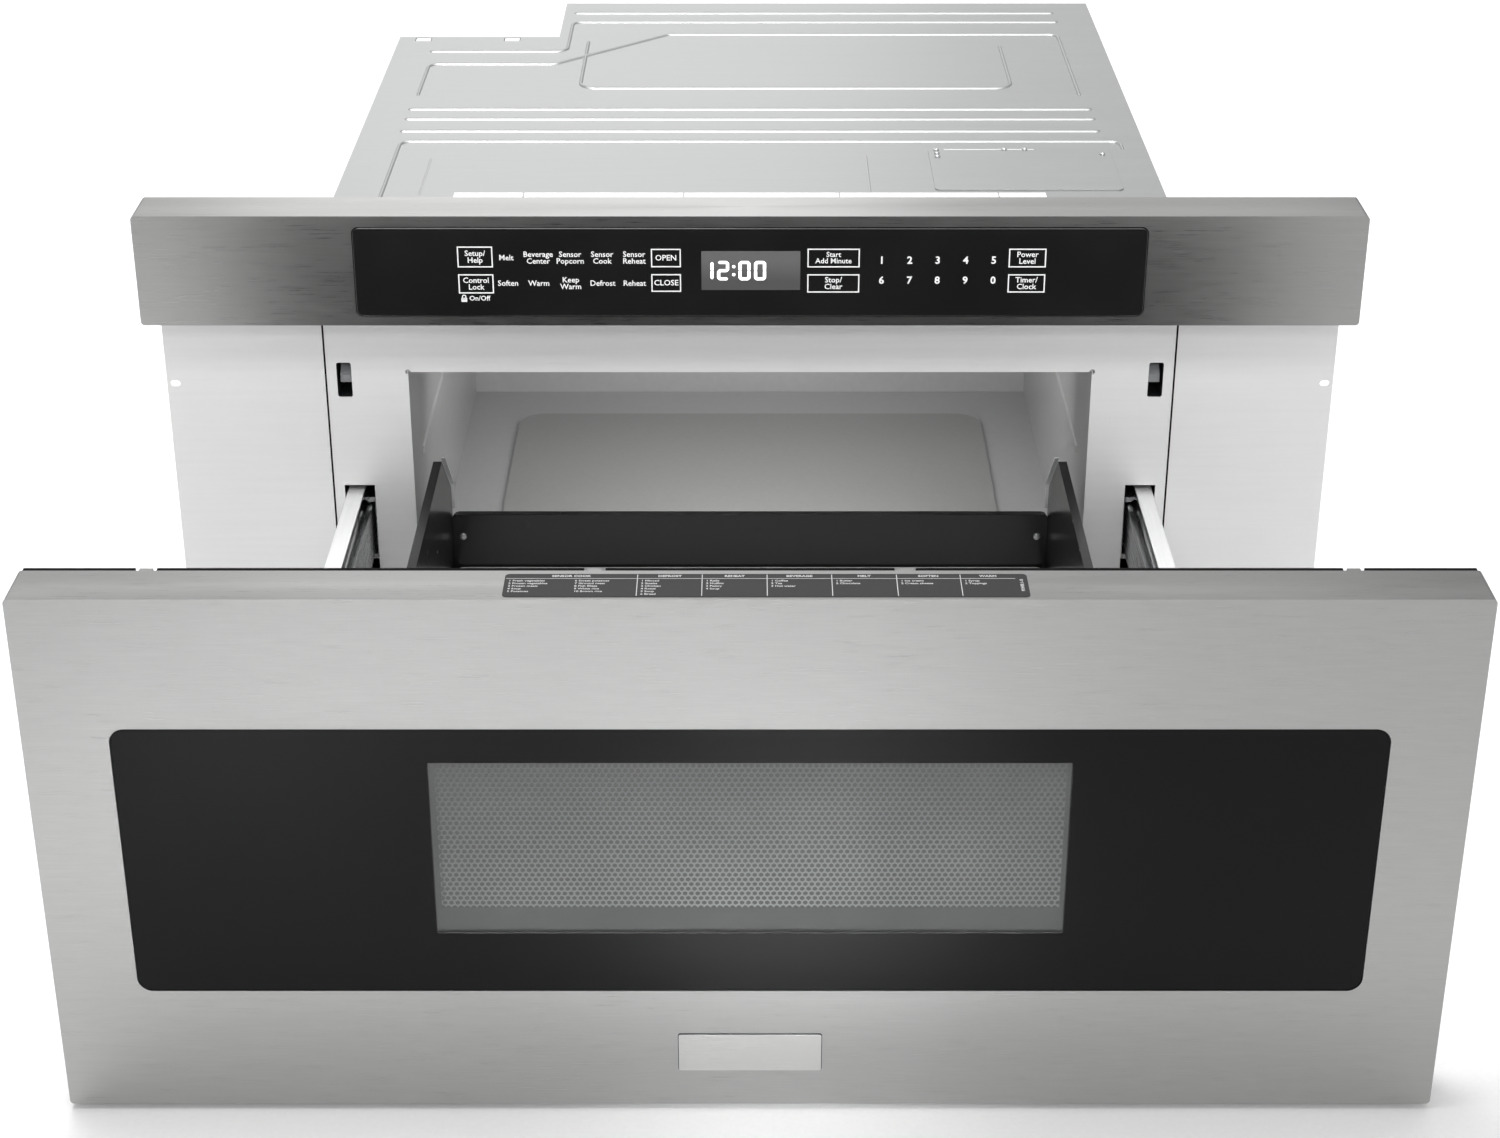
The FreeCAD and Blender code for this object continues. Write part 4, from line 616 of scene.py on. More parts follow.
# Natural nylon, moulded: cream-white gears and racks.
NYLON = MouldedPlastic("nylon_natural_moulded", "#dcd8ca", "#e8e4d8", (0.35, 0.5))
# Black nylon, moulded: the cord gland; under the badge plate the same black shows as a rim of
# painted shade.
GLAND_AND_BADGE_SHADE = MouldedPlastic("nylon_black_and_badge_shade", "#17181a", "#202224", (0.4, 0.55))
# Mill-finish aluminium, rolled: a light satin duct.
ALUMINIUM = SheetMetal(
    "aluminium_mill_rolled", "#c9cbcc", "#d8d9da", (0.3, 0.42), Grain.ALONG_Y, 1.0, 50.0
)
# Plated steel motor case, deep-drawn: a plain grey can.
MOTOR_CASE = TurnedMetal("steel_motor_plated", "#b7b9ba", "#c8cacb", (0.3, 0.42))
# Plated steel yoke, rolled: a faintly warm grey.
MAGNETRON = SheetMetal(
    "steel_magnetron_plated", "#bfc0bd", "#cfd0cd", (0.34, 0.46), Grain.ALONG_Z, 1.0, 30.0
)
# Laminated iron, stacked: dark even bands. They are 2 mm apart, so that they show.
IRON = StackedLayers(
    "iron_laminated_stacked", "#4c4f52", "#73777a", (0.4, 0.55), Grain.ALONG_Y, 2.0, 0.1, 0.8
)
# Aluminium can, drawn: bright, with faint draw marks.
CAN = TurnedMetal("aluminium_can_drawn", "#cfd1d2", "#dcdddd", (0.26, 0.38), 1.4)
# Woven glass laminate, pressed: green board with the weave just visible.
BOARD = StackedLayers(
    "laminate_woven_pressed", "#2f5f42", "#3a6f4e", (0.35, 0.5), Grain.ALONG_X, 1.2, 0.02
)
# Plated steel holder, stamped: a light warm grey round the bulb.
LAMP = TurnedMetal("steel_lamp_plated", "#cfcfcb", "#deded9", (0.3, 0.42))
# Steel bar, turned: a bright shaft with fine rings.
SHAFT = TurnedMetal("steel_shaft_turned", "#b9bbbd", "#cdcfd0", (0.16, 0.28), 0.5)
# Bronze, sintered: a dull yellow-brown bush.
BRONZE = TurnedMetal("bronze_bush_sintered", "#a5793f", "#bb8d50", (0.4, 0.55), 0.7, 0.02)
# White paper, matt: the studio's plain floor.
PAPER = MouldedPlastic("paper_white_matt", "#f4f4f4", "#f8f8f8", (0.85, 0.95), 3.0, 0.01)


def paired(*names: str) -> tuple[str, ...]:
    """Returns the names of the left and the right piece of each kind."""
    return tuple(f"{name}_{side}" for name in names for side in ("left", "right"))


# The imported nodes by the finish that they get.
DRESSED: tuple[tuple[Finish, tuple[str, ...]], ...] = (
    (FRONT_STEEL, ("drawer_skin", "fascia")),
    (FLANGE, ("front_plate", *paired("wing"))),
    (CASING, ("base_plate", "case_sides", "rear_panel", "slide_supports")),
    (CAVITY, ("cavity",)),
    (CERAMIC, ("antenna_cover",)),
    (FOAM, ("top_gasket",)),
    (GLAND_AND_BADGE_SHADE, ("cord_gland",)),
    (ALUMINIUM, ("waveguide", "rotating_antenna")),
    (MOTOR_CASE, ("antenna_motor", "fan_motor", "drive_motor")),
    (MAGNETRON, ("magnetron",)),
    (IRON, ("hv_transformer",)),
    (CAN, ("hv_capacitor",)),
    (BOARD, ("noise_filter", "control_board")),
    (LAMP, ("oven_lamp",)),
    (FAN_GREY, ("fan_impeller", "fan_shroud")),
    (BLACK_ABS, ("control_carrier", "choke_cover")),
    (LATCH_BLACK, ("latch_housings", "interlock_switches")),
    (LEVER_GREY, paired("latch_lever")),
    (RAIL, paired("slide_cabinet", "slide_middle", "slide_drawer")),
    (CAGE, paired("cage_outer", "cage_inner")),
    (CARRIER, ("slide_carriers", "latch_strikers")),
    (NYLON, ("drawer_racks", "drive_gears", "motor_gear")),
    (SHAFT, ("drive_shaft",)),
    (BRONZE, ("shaft_bushes",)),
    (PANEL_ENAMEL, ("choke_panel",)),
    (BOX_BLACK, paired("drawer_wall")),
    (FLOOR_GLASS, ("drawer_floor",)),
    (FRAME_BLACK, ("floor_frame",)),
)


def whole(mesh: BMesh) -> list:
    """Returns every vertex, edge and face of a mesh."""
    return [*mesh.verts, *mesh.edges, *mesh.faces]


def only(kind: type, items: list) -> list:
    """Returns the items of one kind, such as the vertices."""
    return [item for item in items if isinstance(item, kind)]


def ease(mesh: BMesh, items: list, size: float, steps: int, affect: str) -> None:
    """Rounds edges or corners off.

    Args:
        mesh: the mesh that holds them.
        items: the edges or vertices.
        size: how far the rounding reaches.
        steps: faces across it.
        affect: EDGES or VERTICES.
    """
    bmesh.ops.bevel(
        mesh,
        geom=items,
        offset=size,
        offset_type="OFFSET",
        segments=steps,
        profile=0.5,
        affect=affect,
        material=-1,
    )


def polygon(mesh: BMesh, corners: list[tuple[float, float]]) -> BMFace:
    """Returns a flat face, drawn by its corners."""
    return mesh.faces.new([mesh.verts.new((x, y, 0.0)) for x, y in corners])


def rounded_face(
    mesh: BMesh,
    width: float,
    height: float,
    radius: float,
    centre: tuple[float, float] = (0.0, 0.0),
    steps: int = 5,
) -> BMFace:
    """Draws a flat rectangle with rounded corners.

    Args:
        mesh: the mesh that takes it.
        width: its size along X.
        height: its size along Y.
        radius: corner radius, or 0 for square corners.
        centre: where its middle lies.
        steps: faces along each corner's arc.

    Returns:
        The drawn face.
    """
    known = set(mesh.faces)
    corners = bmesh.ops.create_grid(mesh, x_segments=1, y_segments=1, size=0.5)["verts"]
    bmesh.ops.scale(mesh, vec=(width, height, 1.0), verts=corners)
    bmesh.ops.translate(mesh, vec=(centre[0], centre[1], 0.0), verts=corners)
    if radius > 0:
        ease(mesh, corners, radius, steps, "VERTICES")
    return next(face for face in mesh.faces if face not in known)


def framed_faces(mesh: BMesh, outer: BMFace, inner: BMFace) -> list[BMFace]:
    """Turns two drawn outlines into the flat frame between them.

    Args:
        mesh: the mesh that holds both.
        outer: the outside outline's face.
        inner: the opening's face.

    Returns:
        The faces of the frame.
    """
    rims = list(outer.edges) + list(inner.edges)
    bmesh.ops.delete(mesh, geom=[outer, inner], context="FACES_ONLY")
    return bmesh.ops.bridge_loops(mesh, edges=rims)["faces"]


def thicken(
    mesh: BMesh, faces: list[BMFace], thickness: float, edge: float = 0.0, steps: int = 2
) -> list[BMFace]:
    """Raises flat faces into a closed plate and eases its top edges.

    Args:
        mesh: the mesh that holds the faces.
        faces: flat faces, which stay as the underside.
        thickness: how far the top rises along Z.
        edge: size of the eased edge, or 0 for a sharp one.
        steps: faces across the eased edge.

    Returns:
        The top faces, before any easing.
    """
    raised = bmesh.ops.extrude_face_region(mesh, geom=faces, use_keep_orig=True)["geom"]
    top = only(BMFace, raised)
    bmesh.ops.translate(mesh, vec=(0.0, 0.0, thickness), verts=only(BMVert, raised))
    if edge > 0:
        inside = set(top)
        rims = [side for face in top for side in face.edges]
        rims = [side for side in rims if sum(near in inside for near in side.link_faces) == 1]
        ease(mesh, rims, edge, steps, "EDGES")
    return top


def add_slab(
    mesh: BMesh,
    size: tuple[float, float, float],
    centre: tuple[float, float] = (0.0, 0.0),
    radius: float = 0.0,
    edge: float = 0.0,
    steps: tuple[int, int] = (5, 2),
) -> None:
    """Adds a plate whose underside lies on Z = 0.

    Args:
        mesh: the mesh that takes it.
        size: its width, height and thickness.
        centre: where its middle lies.
        radius: corner radius, or 0 for square corners.
        edge: size of its eased top edge, or 0 for a sharp one.
        steps: faces along each corner's arc, and across the eased edge.
    """
    face = rounded_face(mesh, size[0], size[1], radius, centre, steps[0])
    thicken(mesh, [face], size[2], edge, steps[1])


def cut_openings(mesh: BMesh, openings: list[tuple[float, float, float, float]]) -> None:
    """Cuts square openings into a flat sheet.

    Args:
        mesh: the sheet, flat on Z = 0.
        openings: middle across, middle in depth, width and depth of each.
    """
    for x, y, width, depth in openings:
        for side in (-0.5, 0.5):
            for place, normal in (
                ((x + side * width, 0.0, 0.0), (1.0, 0.0, 0.0)),
                ((0.0, y + side * depth, 0.0), (0.0, 1.0, 0.0)),
            ):
                bmesh.ops.bisect_plane(mesh, geom=whole(mesh), plane_co=place, plane_no=normal)
    inside = [
        face
        for face in mesh.faces
        for x, y, width, depth in openings
        if abs(face.calc_center_median().x - x) < width / 2
        and abs(face.calc_center_median().y - y) < depth / 2
    ]
    bmesh.ops.delete(mesh, geom=inside, context="FACES")


def repeat(mesh: BMesh, count: int, step: tuple[float, float, float]) -> None:
    """Repeats a mesh in a straight line.

    Args:
        mesh: the mesh that is repeated, and takes the copies.
        count: how often it stands there in the end.
        step: distance from one copy to the next.
    """
    single = whole(mesh)
    for number in range(1, count):
        copy = bmesh.ops.duplicate(mesh, geom=single)["geom"]
        bmesh.ops.translate(mesh, vec=Vector(step) * number, verts=only(BMVert, copy))


def merge(target: BMesh, part: BMesh, place: Matrix, finish: int = 0) -> None:
    """Sets a drawn part on its place and adds it to a larger mesh.

    Args:
        target: the mesh that takes the part.
        part: the drawn part; it is used up.
        place: the matrix that places it.
        finish: the material number for all its faces.
    """
    part.transform(place)
    for face in part.faces:
        face.material_index = finish
    carrier = bpy.data.meshes.new("carrier")
    part.to_mesh(carrier)
    part.free()
    target.from_mesh(carrier)
    bpy.data.meshes.remove(carrier)


def carry_along(mesh: BMesh, ring: list[BMEdge], stations: list[Matrix]) -> None:
    """Draws a section along a way and closes both of its ends.

    Args:
        mesh: the mesh that holds the section.
        ring: the section's closed ring of edges, drawn at the origin across X.
        stations: the places that the section passes, in order.
    """
    corners = list({vert for edge in ring for vert in edge.verts})
    bmesh.ops.transform(mesh, matrix=stations[0], verts=corners)
    bmesh.ops.contextual_create(mesh, geom=ring)
    for before, after in zip(stations, stations[1:]):
        made = bmesh.ops.extrude_edge_only(mesh, edges=ring)["geom"]
        corners = only(BMVert, made)
        bmesh.ops.transform(mesh, matrix=after @ before.inverted(), verts=corners)
        ring = [edge for edge in only(BMEdge, made) if all(v in corners for v in edge.verts)]
    bmesh.ops.contextual_create(mesh, geom=ring)


def add_piece(
    name: str,
    mesh: BMesh,
    finishes: tuple[Finish, ...],
    body: str,
    crease: float = 35.0,
) -> Object:
    """Turns a placed mesh into a finished piece that rides on a body.

    Args:
        name: the piece's name.
        mesh: its mesh, in metres; it is used up.
        finishes: its finishes, in the order of its faces' material numbers.
        body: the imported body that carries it.
        crease: angle in degrees past which an edge stays sharp.

    Returns:
        The new object.
    """
    bmesh.ops.recalc_face_normals(mesh, faces=mesh.faces)
    for face in mesh.faces:
        face.smooth = True
    for item in mesh.edges:
        folded = len(item.link_faces) == 2 and item.calc_face_angle() > math.radians(crease)
        item.smooth = not folded
    data = bpy.data.meshes.new(name)
    mesh.to_mesh(data)
    mesh.free()
    for finish in finishes:
        data.materials.append(finish.material())
    piece = bpy.data.objects.new(name, data)
    bpy.context.scene.collection.objects.link(piece)
    shading = piece.modifiers.new("even_shading", "WEIGHTED_NORMAL")
    shading.keep_sharp = True
    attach(piece, body)
    LOG.info("made %s on %s: %d faces", name, body, len(data.polygons))
    return piece


@dataclass(frozen=True)
class Bead:
    """A ridge pressed into sheet, along straight runs joined by bends.

    Its runs in depth are narrower than those across, by the share called slim, and its
    ends are domes, cut at the angles called dome_steps.
    """

    corners: tuple[tuple[float, float], ...]
    width: float = 6.6
    height: float = 1.45
    bend: float = 9.0
    steps: int = 6
    sunk: float = 0.25
    slim: float = 0.55
    dome_steps: ClassVar[tuple[float, ...]] = (4.0, 25.5, 47.0, 68.5, 90.0)

    def drawn(self) -> BMesh:
        """Draws the ridge in mm, its foot just under Z = 0.

        Returns:
            A new closed mesh.
        """
        ridge = bmesh.new()
        half = self.width / 2
        dome = (half**2 + self.height**2) / (2 * self.height)
        foot = ridge.verts.new((0.0, -half, 0.0))
        arc = bmesh.ops.spin(
            ridge,
            geom=[foot],
            cent=(0.0, 0.0, self.height - dome),
            axis=(1.0, 0.0, 0.0),
            angle=-2 * math.asin(half / dome),
            steps=self.steps,
        )["geom_last"]
        ridge.edges.new((foot, arc[0]))
        bmesh.ops.translate(ridge, vec=(0.0, 0.0, -self.sunk), verts=ridge.verts)
        carry_along(ridge, list(ridge.edges), self.stations())
        return ridge

    def stations(self) -> list[Matrix]:
        """Finds the places that the section passes, small at both ends.

        Returns:
            One matrix for each place.
        """
        points = [Vector((x, y, 0.0)) for x, y in self.corners]
        ways = [(far - near).normalized() for near, far in zip(points, points[1:])]
        rises = [math.radians(angle) for angle in self.dome_steps]
        half = self.width / 2
        marks = [(points[0] - ways[0] * half * math.cos(a), ways[0], math.sin(a)) for a in rises]
        for corner, way, onward in zip(points[1:], ways, ways[1:]):
            turn = -way.to_2d().angle_signed(onward.to_2d())
            start = corner - way * self.bend * math.tan(abs(turn) / 2)
            centre = start + Vector((-way.y, way.x, 0.0)) * math.copysign(self.bend, turn)
            for step in range(self.steps + 1):
                turned = Matrix.Rotation(turn * step / self.steps, 3, "Z")
                marks.append((centre + turned @ (start - centre), turned @ way, 1.0))
        last = [(points[-1] + ways[-1] * half * math.cos(a), ways[-1], math.sin(a)) for a in rises]
        marks.extend(reversed(last))
        return [
            Matrix.Translation(point)
            @ Matrix.Rotation(math.atan2(way.y, way.x), 4, "Z")
            @ Matrix.Diagonal((1.0, size * (1 - self.slim * abs(way.y)), size, 1.0))
            for point, way, size in marks
        ]


# The top cover's beads, by their corners in plan: from the rear towards the front.
TOP_BEADS = (
    Bead(((-137.0, 526.0), (239.0, 526.0))),
    Bead(((-241.0, 416.0), (-139.5, 416.0), (-139.5, 499.5), (240.0, 499.5))),
    Bead(
        (
            (-241.0, 304.0),
            (-241.0, 382.0),
            (-146.0, 382.0),
            (-63.0, 463.5),
            (239.0, 463.5),
            (239.0, 304.0),
        )
    ),
    Bead(((-124.5, 440.0), (-124.5, 319.0), (191.5, 319.0), (191.5, 428.0)), bend=12.0),
    Bead(((-241.0, 267.0), (241.0, 267.0))),
    Bead(((-241.0, 243.5), (241.0, 243.5))),
    Bead(((-241.0, 215.5), (241.0, 215.5))),
    Bead(((-241.0, 74.0), (-241.0, 192.5), (255.0, 192.5), (255.0, 178.0))),
    Bead(((-216.0, 80.0), (-216.0, 153.0)), 5.0, 0.5),
    Bead(((78.8, 80.0), (78.8, 159.0)), 5.0, 0.5),
)


@dataclass(frozen=True)
class Word:
    """One printed word or group of lines; it is bolder by a share of its size."""

    text: str
    x: float
    y: float
    size: float
    bold: float = 0.012
    centred: bool = True
    turn: float = 0.0
    spacing: ClassVar[float] = 0.88
    curve_steps: ClassVar[int] = 2
    weld: ClassVar[float] = 1e-4

    def drawn(self, thickness: float) -> BMesh:
        """Draws the word flat, in mm, and gives its ink a thickness.

        Args:
            thickness: height of the ink above the surface.

        Returns:
            A new mesh with the word at its place in the drawing.
        """
        curve = bpy.data.curves.new("word", "FONT")
        curve.body = self.text
        curve.size = self.size
        curve.offset = self.bold * self.size
        curve.extrude = thickness / 2
        curve.resolution_u = self.curve_steps
        curve.align_x = "CENTER" if self.centred else "LEFT"
        curve.align_y = "CENTER"
        curve.space_line = self.spacing
        lettering = bpy.data.objects.new("word", curve)
        bpy.context.scene.collection.objects.link(lettering)
        depsgraph = bpy.context.evaluated_depsgraph_get()
        flat = bpy.data.meshes.new_from_object(lettering.evaluated_get(depsgraph))
        drawn = bmesh.new()
        drawn.from_mesh(flat)
        bpy.data.objects.remove(lettering)
        bpy.data.curves.remove(curve)
        bpy.data.meshes.remove(flat)
        turned = Matrix.Rotation(math.radians(self.turn), 4, "Z")
        bmesh.ops.remove_doubles(drawn, verts=drawn.verts, dist=self.weld)
        drawn.transform(Matrix.Translation((self.x, self.y, thickness / 2)) @ turned)
        return drawn


@dataclass(frozen=True)
class Screw:
    """A pan-head screw with a cross recess. All sizes but radius are shares of it."""

    radius: float = 3.4
    rim: float = 0.3
    crown: tuple[tuple[float, float], ...] = ((0.07, 0.18), (0.19, 0.12))
    arm: float = 0.46
    blade: float = 0.11
    sunk: float = 0.4
    taper: float = 0.7
    segments: int = 20

    def drawn(self) -> BMesh:
        """Draws the head with its underside on Z = 0, in mm.

        Returns:
            A new closed mesh.
        """
        head = bmesh.new()
        ring = bmesh.ops.create_circle(
            head, cap_ends=True, segments=self.segments, radius=self.radius
        )["verts"]
        face = thicken(head, [ring[0].link_faces[0]], self.rim * self.radius)[0]
        for inward, rise in self.crown:
            bmesh.ops.inset_region(
                head, faces=[face], thickness=inward * self.radius, depth=rise * self.radius
            )
        self.recess(head, face)
        return head

    def recess(self, head: BMesh, face: BMFace) -> None:
        """Sinks the cross into the head's top face.

        Args:
            head: the head's mesh.
            face: its flat top.
        """
        level = face.calc_center_median().z
        arm = self.arm * self.radius
        half = self.blade * self.radius
        quarter = [Vector((x, y, level)) for x, y in ((arm, -half), (arm, half), (half, half))]
        points = []
        for step in range(4):
            turned = Matrix.Rotation(math.radians(90 * step), 3, "Z")
            points.extend(turned @ point for point in quarter)
        cross = [head.verts.new(point) for point in points]
        rim = [head.edges.new((a, b)) for a, b in zip(cross, cross[1:] + cross[:1])]
        outside = list(face.edges)
        head.faces.remove(face)
        bmesh.ops.bridge_loops(head, edges=outside + rim)
        lowered = bmesh.ops.extrude_edge_only(head, edges=rim)["geom"]
        floor = only(BMVert, lowered)
        bmesh.ops.translate(head, vec=(0.0, 0.0, -self.sunk * self.radius), verts=floor)
        bmesh.ops.scale(head, vec=(self.taper, self.taper, 1.0), verts=floor)
        bmesh.ops.contextual_create(head, geom=only(BMEdge, lowered))


def add_screws(
    name: str,
    places: list[tuple[float, float, float]],
    facing: Facing,
    body: str,
    screw: Screw = Screw(),
) -> Object:
    """Sets a group of screw heads on one side of the object.

    Args:
        name: the group's name.
        places: where each head's underside lies, in mm.
        facing: the side that the heads face.
        body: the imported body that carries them.
        screw: the kind of screw.

    Returns:
        The group as one piece.
    """
    group = bmesh.new()
    for place in places:
        merge(group, screw.drawn(), facing.at(*place))
    return add_piece(name, group, (SCREW_ZINC,), body)


@dataclass
class DrawerFront:
    """Glazing, screen, badge plate and rear lip of the drawer's front."""

    window_w: float = 338.0
    window_bottom: float = 116.8
    window_top: float = 223.2
    window_r: float = 1.0
    glass_r: float = 8.0
    glass_edge: float = 0.5
    hole_pitch: float = 3.4
    web: float = 1.1
    weld: float = 0.01
    screen_t: float = 0.35
    screen_w: float = 333.0
    screen_bottom: float = 131.6
    screen_top: float = 221.5
    screen_gap: float = 0.05
    screen_crease: float = 60.0
    backing_t: float = 0.05
    backing_gap: float = 0.01
    badge_w: float = 78.8
    badge_h: float = 24.1
    badge_z: float = 38.5
    badge_t: float = 0.6
    badge_r: float = 1.2
    badge_edge: float = 0.3
    # A dark sheet under the badge plate, a little larger and raised, showing as a rim of painted
    # shade.
    shade_rim: tuple[float, float, float] = (79.5, 24.6, 0.35)
    shade_rim_r: float = 1.4
    shade_rim_rise: float = 0.2
    shade_rim_grip: float = 0.3
    tab_x: tuple[float, ...] = (-313.0, -80.4, 80.4, 313.0)
    tab_half: float = 5.5
    lip_top: float = 319.6
    lip_short: float = 0.6
    lip_slack: float = 0.3
    lip_shift: float = 0.05
    lip_r: float = 0.4
    lip_edge: float = 0.3

    def build(self) -> None:
        """Builds and dresses every piece of the front."""
        self.build_glass()
        self.build_screen()
        self.build_badge()
        self.build_rear_lip()

    def build_glass(self) -> None:
        """Builds the printed black glass and the clear pane inside its print."""
        low, high = (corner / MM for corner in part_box("drawer_glass"))
        middle = (low + high) / 2
        depth = high.y - low.y
        window_h = self.window_top - self.window_bottom
        centre = (0.0, (self.window_bottom + self.window_top) / 2 - middle.z)
        place = Facing.FRONT.at(middle.x, high.y, middle.z)
        black = bmesh.new()
        outer = rounded_face(black, high.x - low.x, high.z - low.z, self.glass_r)
        inner = rounded_face(black, self.window_w, window_h, self.window_r, centre)
        thicken(black, framed_faces(black, outer, inner), depth, self.glass_edge)
        black.transform(place)
        glass = add_piece("drawer_glass_print", black, (BLACK_GLASS,), "drawer")
        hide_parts("drawer_glass")
        clear = bmesh.new()
        add_slab(clear, (self.window_w, window_h, depth), centre, self.window_r)
        clear.transform(place)
        add_piece("drawer_window_pane", clear, (CLEAR_PANE,), "drawer")

    def build_screen(self) -> None:
        """Builds the perforated steel screen behind the pane, and its dark backing.

        The real holes are about 2 mm apart; 3.4 mm keeps them readable in the picture.
        """
        screen = bmesh.new()
        row = self.hole_pitch * math.sqrt(3) / 2
        for x, y in ((0.0, 0.0), (self.hole_pitch / 2, row)):
            ring = bmesh.ops.create_circle(
                screen, cap_ends=True, segments=6, radius=self.hole_pitch / math.sqrt(3)
            )["verts"]
            bmesh.ops.translate(screen, vec=(x, y, 0.0), verts=ring)
        outlines = list(screen.faces)
        bmesh.ops.inset_individual(screen, faces=outlines, thickness=self.web / 2)
        bmesh.ops.delete(screen, geom=outlines, context="FACES_ONLY")
        height = self.screen_top - self.screen_bottom
        columns = int((self.screen_w + self.hole_pitch) / self.hole_pitch)
        repeat(screen, columns, (self.hole_pitch, 0.0, 0.0))
        repeat(screen, int((height + row) / (2 * row)) + 1, (0.0, 2 * row, 0.0))
        bmesh.ops.remove_doubles(screen, verts=screen.verts, dist=self.weld)
        middle = (columns - 0.5) * self.hole_pitch / 2
        shift = (-middle + self.hole_pitch / 2, -row, 0.0)
        bmesh.ops.translate(screen, vec=shift, verts=screen.verts)
        half = self.screen_w / 2
        for point, normal in (
            ((half, 0.0, 0.0), (1.0, 0.0, 0.0)),
            ((-half, 0.0, 0.0), (-1.0, 0.0, 0.0)),
            ((0.0, 0.0, 0.0), (0.0, -1.0, 0.0)),
            ((0.0, height, 0.0), (0.0, 1.0, 0.0)),
        ):
            bmesh.ops.bisect_plane(
                screen, geom=whole(screen), plane_co=point, plane_no=normal, clear_outer=True
            )
        thicken(screen, list(screen.faces), self.screen_t)
        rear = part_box("choke_panel")[0].y / MM + self.screen_t + self.screen_gap
        screen.transform(Facing.FRONT.at(0.0, rear, self.screen_bottom))
        # The screen's finish paints light low in the middle and shade up and out.
        add_piece(
            "window_screen", screen, (SCREEN_PAINT_AND_SHADE,), "drawer", self.screen_crease
        )
        sheet = bmesh.new()
        add_slab(sheet, (self.screen_w, height, self.backing_t))
        behind = rear + self.backing_t + self.backing_gap
        sheet.transform(Facing.FRONT.at(0.0, behind, self.screen_bottom + height / 2))
        add_piece("window_backing", sheet, (BACKING,), "drawer")

    def build_badge(self) -> None:
        """Builds the bare plate under the glass, on a dark sheet that shows round its top and sides
        as painted shade.
        """
        plate = bmesh.new()
        size = (self.badge_w, self.badge_h, self.badge_t)
        add_slab(plate, size, radius=self.badge_r, edge=self.badge_edge)
        badge = bmesh.new()
        add_slab(badge, self.shade_rim, (0.0, self.shade_rim_rise), self.shade_rim_r)
        merge(badge, plate, Matrix.Translation((0.0, 0.0, self.shade_rim_grip)), 1)
        badge.transform(Facing.FRONT.at(0.0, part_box("drawer_skin")[0].y / MM, self.badge_z))
        add_piece("badge_plate", badge, (GLAND_AND_BADGE_SHADE, PLATE_STEEL), "drawer")

    def build_rear_lip(self) -> None:
        """Builds the black lip of the rear cover, which shows behind the wrap's top edge."""
        low, high = (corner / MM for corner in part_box("choke_cover"))
        tabs = [x + side * self.tab_half for x in self.tab_x for side in (-1, 1)]
        ends = [low.x + self.lip_short, *tabs, high.x - self.lip_short]
        depth = high.y - low.y - self.lip_slack
        lip = bmesh.new()
        for left, right in zip(ends[::2], ends[1::2]):
            middle = ((left + right) / 2, (low.y + high.y) / 2 - self.lip_shift)
            size = (right - left, depth, self.lip_top - high.z)
            add_slab(lip, size, middle, self.lip_r, self.lip_edge, (2, 2))
        lip.transform(Facing.TOP.at(0.0, 0.0, high.z))
        add_piece("rear_cover_lip", lip, (LIP_AND_SEAM_SHADE_BLACK,), "drawer")


